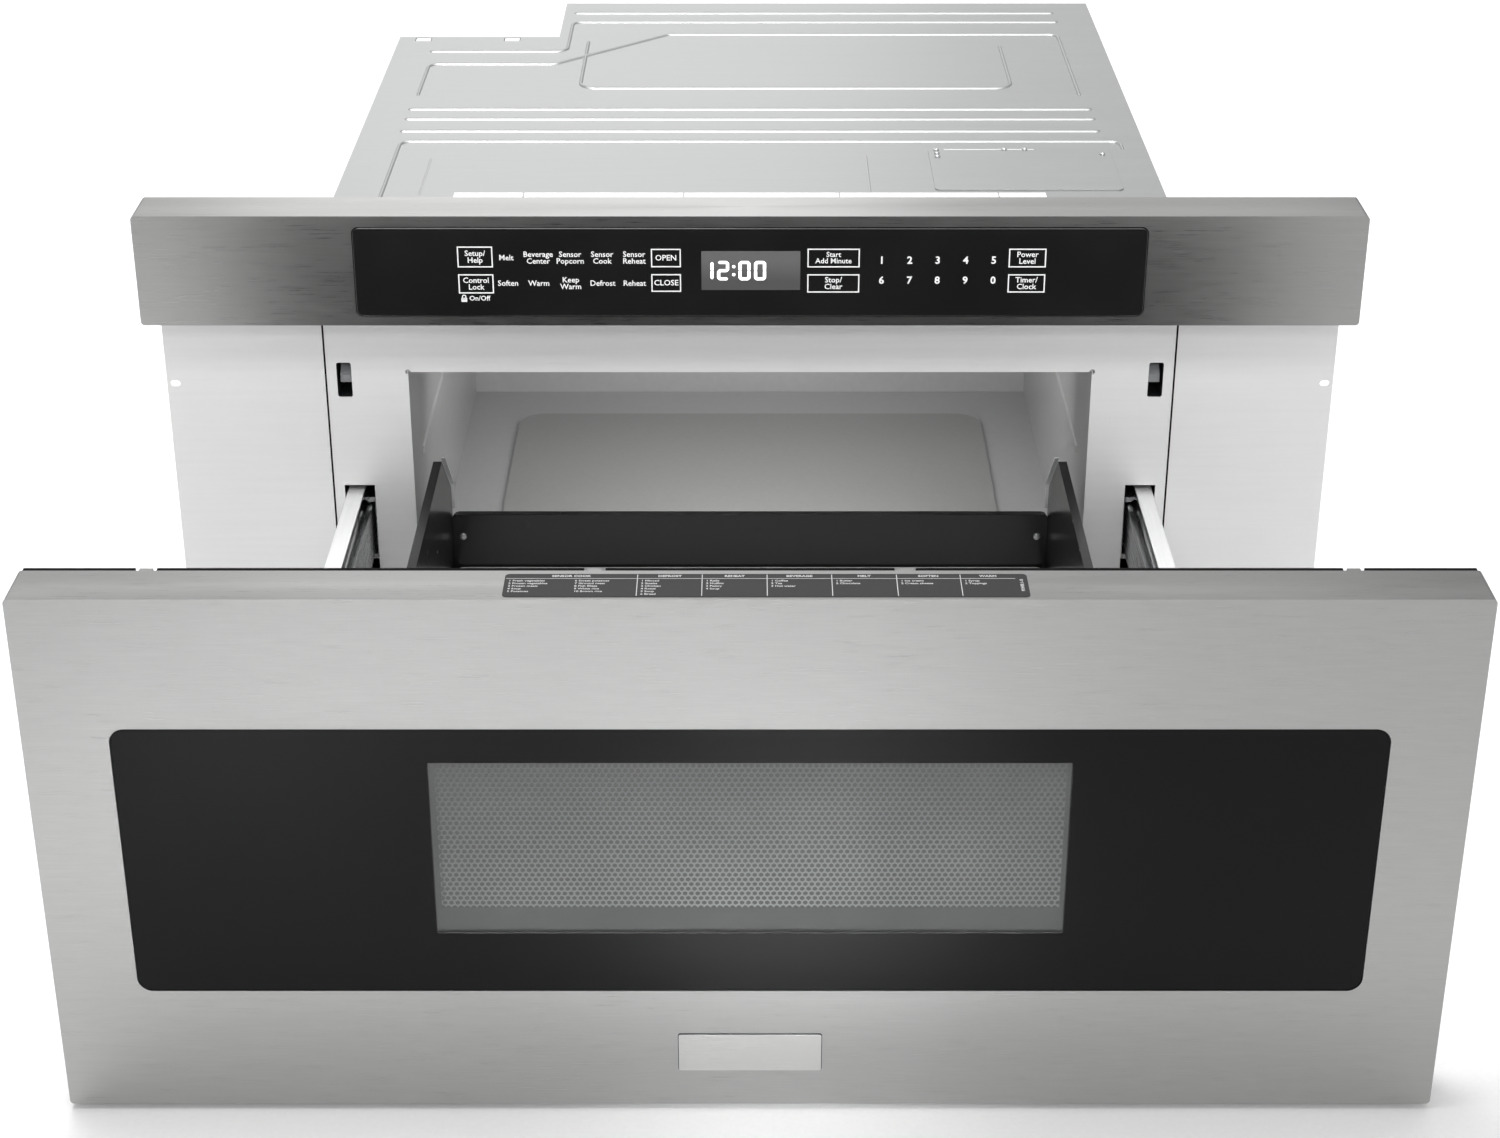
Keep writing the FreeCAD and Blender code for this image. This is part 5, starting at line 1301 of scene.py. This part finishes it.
@dataclass
class GuideStrip:
    """Printed guide to the cooking keys, on the front's top edge."""

    left: float = -126.2
    right: float = 142.7
    front: float = -393.6
    rear: float = -367.6
    corner_r: float = 2.5
    sheet_t: float = 0.25
    sheet_edge: float = 0.08
    ink_t: float = 0.05
    ink_gap: float = 0.01
    head_y: float = -370.3
    head_size: float = 2.9
    head_bold: float = 0.03
    row_y: float = -375.6
    row_pitch: float = 3.0
    row_size: float = 2.5
    row_bold: float = 0.02
    row_inset: float = 2.0
    rule_y: float = -373.0
    rule: tuple[float, float] = (262.0, 0.35)
    rule_x: float = 5.5
    divider: tuple[float, float] = (0.45, 24.0)
    divider_y: float = -380.6
    note: Word = Word("POWER 1-10", 139.6, -380.5, 2.4, 0.03, True, 90.0)
    # Left and right edge, title and rows of each column; the first has its rows in halves.
    columns: tuple[tuple[float, float, str, tuple[str, ...]], ...] = (
        (-126.2, -57.9, "SENSOR COOK", ()),
        (-57.9, -24.6, "DEFROST", ("Minced", "Steaks", "Chicken", "Roast", "Soup", "Bread")),
        (-24.6, 8.8, "REHEAT", ("Rolls", "Muffins", "Pastry", "Soup")),
        (8.8, 42.1, "BEVERAGE", ("Coffee", "Tea", "Hot water")),
        (42.1, 75.5, "MELT", ("Butter", "Chocolate")),
        (75.5, 108.3, "SOFTEN", ("Ice cream", "Cream cheese")),
        (108.3, 137.0, "WARM", ("Syrup", "Toppings")),
    )
    # Where each half of the first column begins, its first number and its rows.
    halves: tuple[tuple[float, int, tuple[str, ...]], ...] = (
        (-124.0, 1, ("Fresh vegetables", "Frozen vegetables", "Frozen meals", "Soup", "Potatoes")),
        (-90.0, 6, ("Sweet potatoes", "Ground meat", "Fish fillets", "White rice", "Brown rice")),
    )

    def build(self) -> None:
        """Builds the strip and its print."""
        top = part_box("drawer_skin")[1].z / MM
        strip = bmesh.new()
        size = (self.right - self.left, self.rear - self.front, self.sheet_t)
        add_slab(strip, size, radius=self.corner_r, edge=self.sheet_edge, steps=(5, 1))
        middle = ((self.left + self.right) / 2, (self.front + self.rear) / 2)
        strip.transform(Facing.TOP.at(middle[0], middle[1], top))
        add_piece("guide_strip", strip, (STRIP_INK,), "drawer")
        self.build_print(Facing.TOP.at(0.0, 0.0, top + self.sheet_t + self.ink_gap))

    def words(self) -> list[Word]:
        """Lists the strip's words at their places.

        Returns:
            Rows of the first column, then each column's title and rows, then the note.
        """
        words = [word for half in self.halves for word in self.rows(*half)]
        for left, right, title, rows in self.columns:
            middle = (left + right) / 2
            words.append(Word(title, middle, self.head_y, self.head_size, self.head_bold))
            words.extend(self.rows(left + self.row_inset, 1, rows))
        return [*words, self.note]

    def rows(self, left: float, first: int, rows: tuple[str, ...]) -> list[Word]:
        """Lists numbered rows, one under the other.

        Args:
            left: where the rows begin.
            first: number of the first row.
            rows: what the rows say.

        Returns:
            One line of print for each row.
        """
        return [
            Word(
                f"{first + step} {row}",
                left,
                self.row_y - step * self.row_pitch,
                self.row_size,
                self.row_bold,
                False,
            )
            for step, row in enumerate(rows)
        ]

    def build_print(self, place: Matrix) -> None:
        """Builds the lettering and rules.

        Args:
            place: the matrix that sets the print just over the strip.
        """
        ink = bmesh.new()
        for word in self.words():
            merge(ink, word.drawn(self.ink_t), place)
        rules = bmesh.new()
        add_slab(rules, (*self.rule, self.ink_t), (self.rule_x, self.rule_y))
        for left, *_ in self.columns[1:]:
            add_slab(rules, (*self.divider, self.ink_t), (left, self.divider_y))
        merge(ink, rules, place)
        add_piece("guide_strip_print", ink, (GREY_INK,), "drawer")


# The touch panel's legends, from left to right, and the frames round some of them by
# their middle, width and height.
KEY_WORDS = (
    Word("Setup/\nHelp", -169.4, 372.2, 5.0),
    Word("Control\nLock", -169.4, 354.6, 5.0),
    Word("On/Off", -167.6, 345.0, 4.4),
    Word("Melt", -150.2, 371.6, 5.0),
    Word("Beverage\nCenter", -130.5, 371.6, 5.0),
    Word("Sensor\nPopcorn", -110.8, 371.6, 5.0),
    Word("Sensor\nCook", -91.1, 371.6, 5.0),
    Word("Sensor\nReheat", -71.4, 371.6, 5.0),
    Word("Soften", -149.6, 354.9, 5.0),
    Word("Warm", -130.5, 354.9, 5.0),
    Word("Keep\nWarm", -110.8, 354.9, 5.0),
    Word("Defrost", -91.1, 354.9, 5.0),
    Word("Reheat", -71.4, 354.9, 5.0),
    Word("OPEN", -51.8, 371.5, 5.1),
    Word("CLOSE", -51.8, 355.2, 5.1),
    Word("Start\nAdd Minute", 51.5, 371.6, 4.7),
    Word("Stop/\nClear", 51.5, 354.9, 5.0),
    Word("Power\nLevel", 170.9, 371.5, 5.0),
    Word("Timer/\nClock", 170.9, 354.9, 5.0),
)
KEY_FRAMES = (
    (-169.4, 372.2, 21.8, 13.6),
    (-169.4, 354.6, 21.8, 12.6),
    (-51.8, 371.5, 18.4, 12.0),
    (-51.8, 355.2, 18.4, 11.6),
    (51.5, 371.5, 32.2, 12.2),
    (51.5, 354.9, 32.2, 12.0),
    (170.9, 371.5, 23.0, 12.2),
    (170.9, 354.9, 23.0, 12.0),
)


@dataclass
class ControlPanel:
    """Glass, print and display of the fascia."""

    glass_r: float = 4.0
    glass_edge: float = 0.8
    line: float = 0.75
    ink_t: float = 0.05
    ink_gap: float = 0.01
    numbers_in_row: int = 5
    number_x: float = 81.2
    number_pitch: float = 17.25
    number_z: tuple[float, float] = (369.9, 356.8)
    number_size: float = 6.6
    number_bold: float = 0.025
    lock: tuple[float, float] = (-177.2, 344.9)
    lock_body: tuple[float, float] = (3.6, 2.7)
    lock_body_r: float = 0.4
    lock_drop: float = 0.8
    shackle: tuple[tuple[float, float, float], ...] = ((2.7, 3.4, 1.3), (1.5, 2.2, 0.7))
    shackle_rise: float = 0.9
    display_x: float = 0.5
    display_z: float = 363.3
    display_w: float = 61.0
    display_h: float = 25.4
    lens_r: float = 0.4
    lens_t: float = 0.06
    digits: tuple[tuple[float, str], ...] = (
        (-26.2, "bc"),
        (-16.6, "abdeg"),
        (-3.4, "abcdef"),
        (6.2, "abcdef"),
    )
    digit_w: float = 7.4
    digit_h: float = 12.6
    segment: float = 1.9
    segment_gap: float = 0.25
    segment_lap: float = 0.5
    segment_r: float = 0.42
    dots: tuple[tuple[float, float], ...] = ((-10.0, -2.6), (-10.0, 2.6))
    dot_r: float = 0.6

    def build(self) -> None:
        """Builds and dresses every piece of the panel."""
        low, high = (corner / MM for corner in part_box("control_glass"))
        middle = (low + high) / 2
        pane = bmesh.new()
        size = (high.x - low.x, high.z - low.z, high.y - low.y)
        add_slab(pane, size, radius=self.glass_r, edge=self.glass_edge, steps=(5, 3))
        pane.transform(Facing.FRONT.at(middle.x, high.y, middle.z))
        glass = add_piece("control_panel_glass", pane, (PANEL_GLASS,), "housing")
        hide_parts("control_glass")
        self.build_print(low.y)
        self.build_display(low.y)

    def build_print(self, face_y: float) -> None:
        """Builds the printed words, digits, key frames and padlock.

        Args:
            face_y: where the glass's front lies.
        """
        words = list(KEY_WORDS)
        for number in range(10):
            row, place = divmod(number, self.numbers_in_row)
            x = self.number_x + self.number_pitch * place
            legend = str((number + 1) % 10)
            words.append(Word(legend, x, self.number_z[row], self.number_size, self.number_bold))
        surface = Facing.FRONT.at(0.0, face_y - self.ink_gap, 0.0)
        ink = bmesh.new()
        for word in words:
            merge(ink, word.drawn(self.ink_t), surface)
        lines = bmesh.new()
        for x, z, width, height in KEY_FRAMES:
            outer = rounded_face(lines, width, height, 0.0, (x, z))
            hole = (width - 2 * self.line, height - 2 * self.line)
            inner = rounded_face(lines, hole[0], hole[1], 0.0, (x, z))
            thicken(lines, framed_faces(lines, outer, inner), self.ink_t)
        self.draw_padlock(lines)
        merge(ink, lines, surface)
        add_piece("control_print", ink, (WHITE_INK,), "housing")

    def draw_padlock(self, lines: BMesh) -> None:
        """Draws the small padlock beside the lock key's words.

        Args:
            lines: the mesh that takes it.
        """
        x, z = self.lock
        body = (*self.lock_body, self.ink_t)
        add_slab(lines, body, (x, z - self.lock_drop), self.lock_body_r, steps=(2, 2))
        outer, inner = (
            rounded_face(lines, width, height, radius, (x, z + self.shackle_rise), 4)
            for width, height, radius in self.shackle
        )
        thicken(lines, framed_faces(lines, outer, inner), self.ink_t)

    def build_display(self, face_y: float) -> None:
        """Builds the display's lens and its lit digits.

        Args:
            face_y: where the glass's front lies.
        """
        lens = bmesh.new()
        add_slab(lens, (self.display_w, self.display_h, self.lens_t), radius=self.lens_r)
        lens.transform(Facing.FRONT.at(self.display_x, face_y, self.display_z))
        add_piece("display_lens", lens, (LENS,), "housing")
        lit = bmesh.new()
        for centre, segments in self.digits:
            self.draw_digit(lit, centre, segments)
        for dot in self.dots:
            size = (self.segment, self.segment, self.ink_t)
            add_slab(lit, size, dot, self.dot_r, steps=(2, 2))
        surface = face_y - self.lens_t - self.ink_gap
        lit.transform(Facing.FRONT.at(0.0, surface, self.display_z))
        add_piece("display_digits", lit, (LIT_SEGMENT,), "housing")

    def draw_digit(self, lit: BMesh, centre: float, segments: str) -> None:
        """Draws the lit segments of one digit.

        Args:
            lit: the mesh that takes them.
            centre: middle of the digit across.
            segments: letters of the lit segments, from a at the top to g in the middle.
        """
        side = (self.digit_w - self.segment) / 2
        rise = (self.digit_h - self.segment) / 2
        lap = self.segment_lap * self.segment
        bar = (self.digit_w - self.segment - 2 * self.segment_gap + lap, self.segment)
        post = (self.segment, rise - 2 * self.segment_gap + lap)
        layout = {
            "a": ((0.0, rise), bar),
            "b": ((side, rise / 2), post),
            "c": ((side, -rise / 2), post),
            "d": ((0.0, -rise), bar),
            "e": ((-side, -rise / 2), post),
            "f": ((-side, rise / 2), post),
            "g": ((0.0, 0.0), bar),
        }
        for letter in segments:
            (x, z), size = layout[letter]
            radius = self.segment_r * self.segment
            add_slab(lit, (*size, self.ink_t), (centre + x, z), radius, steps=(1, 2))


@dataclass
class DrawerBox:
    """Rear wall, tray, edge trims and fasteners of the food box."""

    wall_top: float = 166.0
    wall_r: float = 5.0
    wall_edge: float = 0.5
    ledge_t: float = 6.0
    ledge_d: float = 5.0
    ledge_lap: float = 0.1
    tray_t: float = 6.0
    tray_gap: float = 1.5
    tray_r: float = 6.0
    tray_edge: float = 1.2
    screw_x: float = 193.0
    screw_z: float = 150.0
    screw: Screw = Screw(2.4)
    slope_run: float = 43.0
    slope_drop: float = 38.0
    trim_t: float = 1.3
    trim_grip: float = 1.0
    trim_proud: float = 1.6

    def build(self) -> None:
        """Builds the pieces and the two screws on the inside of the rear wall."""
        low, high = (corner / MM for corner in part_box("drawer_back"))
        self.build_wall(low, high)
        self.build_tray(low, high)
        self.build_trims()
        places = [(side * self.screw_x, low.y, self.screw_z) for side in (-1, 1)]
        add_screws("box_screws", places, Facing.FRONT, "drawer", self.screw)

    def build_wall(self, low: Vector, high: Vector) -> None:
        """Builds the low rear wall with the ledge behind it.

        Args:
            low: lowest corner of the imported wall, in mm.
            high: its highest corner, in mm.
        """
        width, tall = high.x - low.x, self.wall_top - low.z
        depth = high.y - low.y - self.ledge_d
        wall = bmesh.new()
        add_slab(wall, (width, tall, depth), (0.0, tall / 2), self.wall_r, self.wall_edge)
        ledge = bmesh.new()
        size = (width, self.ledge_t, self.ledge_d + self.ledge_lap)
        add_slab(ledge, size, (0.0, self.ledge_t / 2))
        merge(wall, ledge, Matrix.Translation((0.0, 0.0, -self.ledge_d)))
        wall.transform(Facing.FRONT.at(0.0, low.y + depth, low.z))
        back = add_piece("box_rear_wall", wall, (BOX_BLACK,), "drawer")
        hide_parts("drawer_back")

    def build_tray(self, low: Vector, high: Vector) -> None:
        """Builds the grey glass-ceramic tray that lies on the box's floor.

        Args:
            low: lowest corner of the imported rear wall, in mm.
            high: its highest corner, in mm.
        """
        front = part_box("drawer_floor")[0].y / MM
        width = high.x - low.x - 2 * self.tray_gap
        depth = low.y - front - 2 * self.tray_gap
        tray = bmesh.new()
        size = (width, depth, self.tray_t)
        add_slab(tray, size, radius=self.tray_r, edge=self.tray_edge, steps=(5, 3))
        tray.transform(Facing.TOP.at(0.0, (low.y + front) / 2, low.z))
        add_piece("box_tray", tray, (TRAY_GREY,), "drawer")

    def build_trims(self) -> None:
        """Builds the bright trims on the side walls' rear edges, proud on the inside."""
        trims = bmesh.new()
        for name, side in (("drawer_wall_left", 1), ("drawer_wall_right", -1)):
            low, high = (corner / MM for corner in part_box(name))
            knee = (high.y, high.z - self.slope_drop)
            top = (high.y - self.slope_run, high.z)
            sloped_t = self.trim_t * math.hypot(self.slope_run, self.slope_drop) / self.slope_drop
            corners = [
                top,
                knee,
                (high.y, self.wall_top),
                (high.y + self.trim_t, self.wall_top),
                (high.y + self.trim_t, knee[1]),
                (top[0] + sloped_t, top[1]),
            ]
            strip = bmesh.new()
            thicken(strip, [polygon(strip, corners)], self.trim_grip + self.trim_proud)
            start = high.x - self.trim_grip if side > 0 else low.x - self.trim_proud
            merge(trims, strip, Facing.RIGHT.at(start, 0.0, 0.0))
        add_piece("box_wall_trims", trims, (CARRIER,), "drawer")


@dataclass
class Casing:
    """Top cover, access cover, seam shade strips and fasteners of the casing; the strips are
    painted shade in the wing seams.
    """

    sheet_t: float = 1.0
    bead_h: float = 1.2
    recess_x: float = -148.0
    recess_y: float = 457.0
    turned_edge: float = 15.0
    turned_gap: float = 0.05
    slot_x: tuple[float, ...] = (-252.6, -184.0)
    slot_inset: float = 7.6
    slot: tuple[float, float] = (12.4, 8.8)
    tab: tuple[float, float, float] = (11.4, 7.8, 0.7)
    tab_r: float = 0.6
    tab_edge: float = 0.2
    tab_rise: float = 0.2
    cover_lap: float = 20.0
    cover_t: float = 0.8
    cover_r: float = 4.0
    cover_edge: float = 0.3
    cover_ridge: Bead = Bead(((-50.0, 41.0), (10.0, 41.0)), 3.0, 0.7)
    cover_spots: tuple[tuple[float, float], ...] = (
        (5.5, -6.0),
        (5.5, -13.0),
        (5.5, -20.0),
        (52.0, -4.5),
        (66.0, -4.5),
        (118.0, -15.0),
    )
    cover_screw: Screw = Screw(1.9)
    seam: float = 0.4
    shade_strip_w: float = 1.2
    # Dark strips in the wing seams, which are painted shade.
    shade_strip_t: float = 0.2
    shade_strip_edge: float = 0.1
    shade_strip_short: float = 4.0
    screw_edge: float = 7.5
    screw_y: float = 60.0
    screw_pitch: float = 128.0
    side_screws: tuple[tuple[str, Facing, int], ...] = (
        ("screws_left", Facing.LEFT, 3),
        ("screws_right", Facing.RIGHT, 4),
    )
    rear_screw_x: tuple[float, ...] = (-120.0, 0.0, 120.0, 250.0)
    rear_screw_sunk: float = 0.2

    def build(self) -> None:
        """Builds the covers, the seam shade strips and the screws."""
        self.build_top()
        self.build_access_cover()
        self.build_seam_shade_strips()
        self.build_screws()

    def outline(self, mesh: BMesh, low: Vector, high: Vector, inset: float) -> BMFace:
        """Draws the casing's outline in plan, with its recess for the outlet.

        Args:
            mesh: the mesh that takes it.
            low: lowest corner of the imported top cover, in mm.
            high: its highest corner, in mm.
            inset: distance to the outline on its sides and rear.

        Returns:
            The drawn face.
        """
        rear, recess_y = high.y - inset, self.recess_y - inset
        corners = [
            (low.x + inset, low.y),
            (high.x - inset, low.y),
            (high.x - inset, rear),
            (self.recess_x + inset, rear),
            (self.recess_x + inset, recess_y),
            (low.x + inset, recess_y),
        ]
        return polygon(mesh, corners)

    def build_top(self) -> None:
        """Builds the top cover: sheet, turned edge, beads, and two bright tabs in slots."""
        low, high = (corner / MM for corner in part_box("case_top"))
        cover_low, cover_high = (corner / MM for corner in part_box("access_cover"))
        middle = (cover_low + cover_high) / 2
        size = cover_high - cover_low - Vector((self.cover_lap, self.cover_lap, 0.0))
        tab_y = self.recess_y - self.slot_inset
        openings = [(x, tab_y, *self.slot) for x in self.slot_x]
        cover = bmesh.new()
        self.outline(cover, low, high, 0.0)
        cut_openings(cover, [*openings, (middle.x, middle.y, size.x, size.y)])
        thicken(cover, list(cover.faces), self.sheet_t)
        rim = bmesh.new()
        outer = self.outline(rim, low, high, self.sheet_t + self.turned_gap)
        inner = self.outline(rim, low, high, 2 * self.sheet_t + self.turned_gap)
        thicken(rim, framed_faces(rim, outer, inner), self.turned_edge)
        merge(cover, rim, Matrix.Translation((0.0, 0.0, -self.turned_edge)))
        tabs = bmesh.new()
        for x in self.slot_x:
            add_slab(tabs, self.tab, (x, tab_y), self.tab_r, self.tab_edge, (2, 2))
        merge(cover, tabs, Matrix.Translation((0.0, 0.0, self.tab_rise)), 1)
        for bead in TOP_BEADS:
            merge(cover, bead.drawn(), Matrix.Translation((0.0, 0.0, self.sheet_t)))
        cover.transform(Facing.TOP.at(0.0, 0.0, high.z - self.bead_h - self.sheet_t))
        top = add_piece("casing_top", cover, (CASING, FLANGE), "housing")
        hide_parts("case_top")

    def build_access_cover(self) -> None:
        """Builds the plate over the access opening, its raised lip and its screws."""
        low, high = (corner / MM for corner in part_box("access_cover"))
        middle = (low + high) / 2
        plate = bmesh.new()
        size = (high.x - low.x, high.y - low.y, self.cover_t)
        add_slab(plate, size, radius=self.cover_r, edge=self.cover_edge)
        merge(plate, self.cover_ridge.drawn(), Matrix.Translation((0.0, 0.0, self.cover_t)))
        plate.transform(Facing.TOP.at(middle.x, middle.y, low.z))
        cover = add_piece("access_plate", plate, (CASING,), "housing")
        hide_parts("access_cover")
        places = [(low.x + x, high.y + y, high.z) for x, y in self.cover_spots]
        add_screws(
            "screws_cover", places, Facing.TOP, "housing", self.cover_screw
        )

    def build_seam_shade_strips(self) -> None:
        """Builds dark strips in the seams between the flange's plate and its wings: painted shade.
        """
        low, high = (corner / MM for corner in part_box("wing_right"))
        size = (self.shade_strip_w, high.z - low.z - self.shade_strip_short, self.shade_strip_t)
        shade_strips = bmesh.new()
        for side in (-1, 1):
            middle = (side * (low.x - self.seam / 2), (low.z + high.z) / 2)
            add_slab(shade_strips, size, middle, edge=self.shade_strip_edge, steps=(5, 1))
        shade_strips.transform(Facing.FRONT.at(0.0, low.y, 0.0))
        add_piece("wing_seam_shade_strips", shade_strips, (LIP_AND_SEAM_SHADE_BLACK,), "housing")

    def build_screws(self) -> None:
        """Builds the screws along the sides and the rear."""
        low, high = (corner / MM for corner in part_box("case_sides"))
        rows = (high.z - self.screw_edge, low.z + self.screw_edge)
        for name, facing, count in self.side_screws:
            x = low.x if facing is Facing.LEFT else high.x
            depths = [self.screw_y + self.screw_pitch * number for number in range(count)]
            places = [(x, y, z) for z in rows for y in depths]
            add_screws(name, places, facing, "housing")
        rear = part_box("rear_panel")[1].y / MM - self.rear_screw_sunk
        places = [(x, rear, z) for z in rows for x in self.rear_screw_x]
        add_screws("screws_rear", places, Facing.REAR, "housing")


@dataclass(frozen=True)
class SoftLight:
    """A soft rectangular light behind a grid, which narrows its beam."""

    name: str
    place: tuple[float, float, float]
    aim: tuple[float, float, float]
    size: tuple[float, float]
    power: float
    beam: float = 180.0

    def build(self) -> None:
        """Hangs the light; places and sizes are metres, its power is in watts."""
        lamp = bpy.data.lights.new(self.name, "AREA")
        lamp.shape = "RECTANGLE"
        lamp.size, lamp.size_y = self.size
        lamp.energy = self.power
        lamp.spread = math.radians(self.beam)
        light = bpy.data.objects.new(self.name, lamp)
        heading = Vector(self.aim) - Vector(self.place)
        light.rotation_euler = heading.to_track_quat("-Z", "Y").to_euler()
        light.location = self.place
        light.visible_camera = False
        bpy.context.scene.collection.objects.link(light)


STUDIO_LIGHTS = (
    SoftLight("ceiling_grid", (0.0, 1.8, 2.4), (0.0, 1.8, 0.0), (5.5, 3.4), 45.0, 80.0),
    SoftLight("front_fill", (0.5, -3.1, 1.0), (0.0, 0.0, 0.2), (2.2, 1.0), 24.0),
    SoftLight("floor_key", (-0.25, -0.92, 2.0), (-0.25, -0.92, 0.0), (0.3, 0.3), 0.55, 26.0),
    SoftLight("floor_foot", (0.02, -0.62, 1.3), (0.02, -0.6, 0.0), (0.12, 0.06), 0.22, 12.0),
    SoftLight("edge_strip", (0.0, -2.4, 1.64), (0.0, -0.39, 0.3), (2.4, 0.3), 2.0, 60.0),
    SoftLight("overhead_box", (-0.4, 0.0, 2.3), (-0.3, 0.0, 0.0), (1.4, 0.8), 16.0, 120.0),
    SoftLight("back_panel", (-0.8, 3.6, 1.9), (0.0, 0.0, 0.3), (4.5, 1.6), 11.5),
    SoftLight("back_glow", (-0.35, 3.4, 1.6), (0.0, 0.0, 0.4), (1.3, 0.7), 3.8),
    SoftLight("drawer_well", (0.0, -0.3, 0.62), (0.0, -0.02, 0.12), (0.7, 0.08), 0.4, 70.0),
    SoftLight("window_glow", (0.05, -2.6, 0.9), (0.02, -0.39, 0.15), (0.15, 0.12), 0.55, 7.0),
    SoftLight("pool_left", (-0.36, -0.95, 1.9), (-0.36, -0.95, 0.0), (0.1, 0.5), 0.2, 10.0),
    SoftLight("pool_centre", (0.05, -0.9, 1.9), (0.05, -0.9, 0.0), (0.08, 0.6), 0.45, 10.0),
    SoftLight("oven_glow", (0.0, 0.08, 0.272), (0.0, 0.4, 0.14), (0.26, 0.02), 0.5),
)


@dataclass
class Studio:
    """Pale floor, even surround, soft lights and the camera of the picture."""

    camera_y: float = -1634.6
    camera_z: float = 954.4
    pitch: float = 26.51
    lens: float = 65.86
    sensor: float = 36.0
    sight: float = 50.0
    floor_size: float = 14.0
    floor_cells: int = 8
    floor_drop: float = 0.0005
    surround: float = 0.42

    def build(self) -> None:
        """Builds the studio around the finished object."""
        self.build_floor()
        self.build_world()
        for light in STUDIO_LIGHTS:
            light.build()
        self.build_camera()

    def build_floor(self) -> None:
        """Builds the matt floor, just under the object's foot; its sizes are metres."""
        cells = self.floor_cells
        sheet = bmesh.new()
        bmesh.ops.create_grid(sheet, x_segments=cells, y_segments=cells, size=self.floor_size / 2)
        bmesh.ops.translate(sheet, vec=(0.0, 0.0, -self.floor_drop), verts=sheet.verts)
        data = bpy.data.meshes.new("studio_floor")
        sheet.to_mesh(data)
        sheet.free()
        data.materials.append(PAPER.material())
        floor = bpy.data.objects.new("studio_floor", data)
        bpy.context.scene.collection.objects.link(floor)

    def build_world(self) -> None:
        """Builds an even white surround."""
        world = bpy.data.worlds.new("studio_surround")
        world.use_nodes = True
        tree = world.node_tree
        tree.nodes.clear()
        light = {"Color": linear("#ffffff"), "Strength": self.surround}
        glow = add_node(tree, "Background", light)
        add_node(tree, "OutputWorld", None, {"Surface": glow.outputs[0]})
        bpy.context.scene.world = world

    def build_camera(self) -> None:
        """Sets the camera at the picture's place and angle."""
        view = bpy.data.cameras.new("picture_camera")
        view.lens = self.lens
        view.sensor_width = self.sensor
        view.clip_end = self.sight
        camera = bpy.data.objects.new("picture_camera", view)
        camera.location = (0.0, self.camera_y * MM, self.camera_z * MM)
        camera.rotation_euler = (math.radians(90 - self.pitch), 0.0, 0.0)
        bpy.context.scene.collection.objects.link(camera)
        bpy.context.scene.camera = camera
        bpy.context.scene.view_settings.view_transform = "Standard"


def dress_nodes() -> None:
    """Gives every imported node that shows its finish."""
    for finish, names in DRESSED:
        for name in names:
            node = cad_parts[name]
            for slot in node.material_slots:
                slot.material = finish.material()
        LOG.info("dressed %s with %s", ", ".join(names), finish.name)


def main() -> None:
    """Builds the object's looks and the studio."""
    logging.basicConfig(level=logging.INFO, format="%(name)s: %(message)s")
    dress_nodes()
    for assembly in (DrawerFront(), GuideStrip(), ControlPanel(), DrawerBox(), Casing(), Studio()):
        assembly.build()


if __name__ == "__main__":
    main()
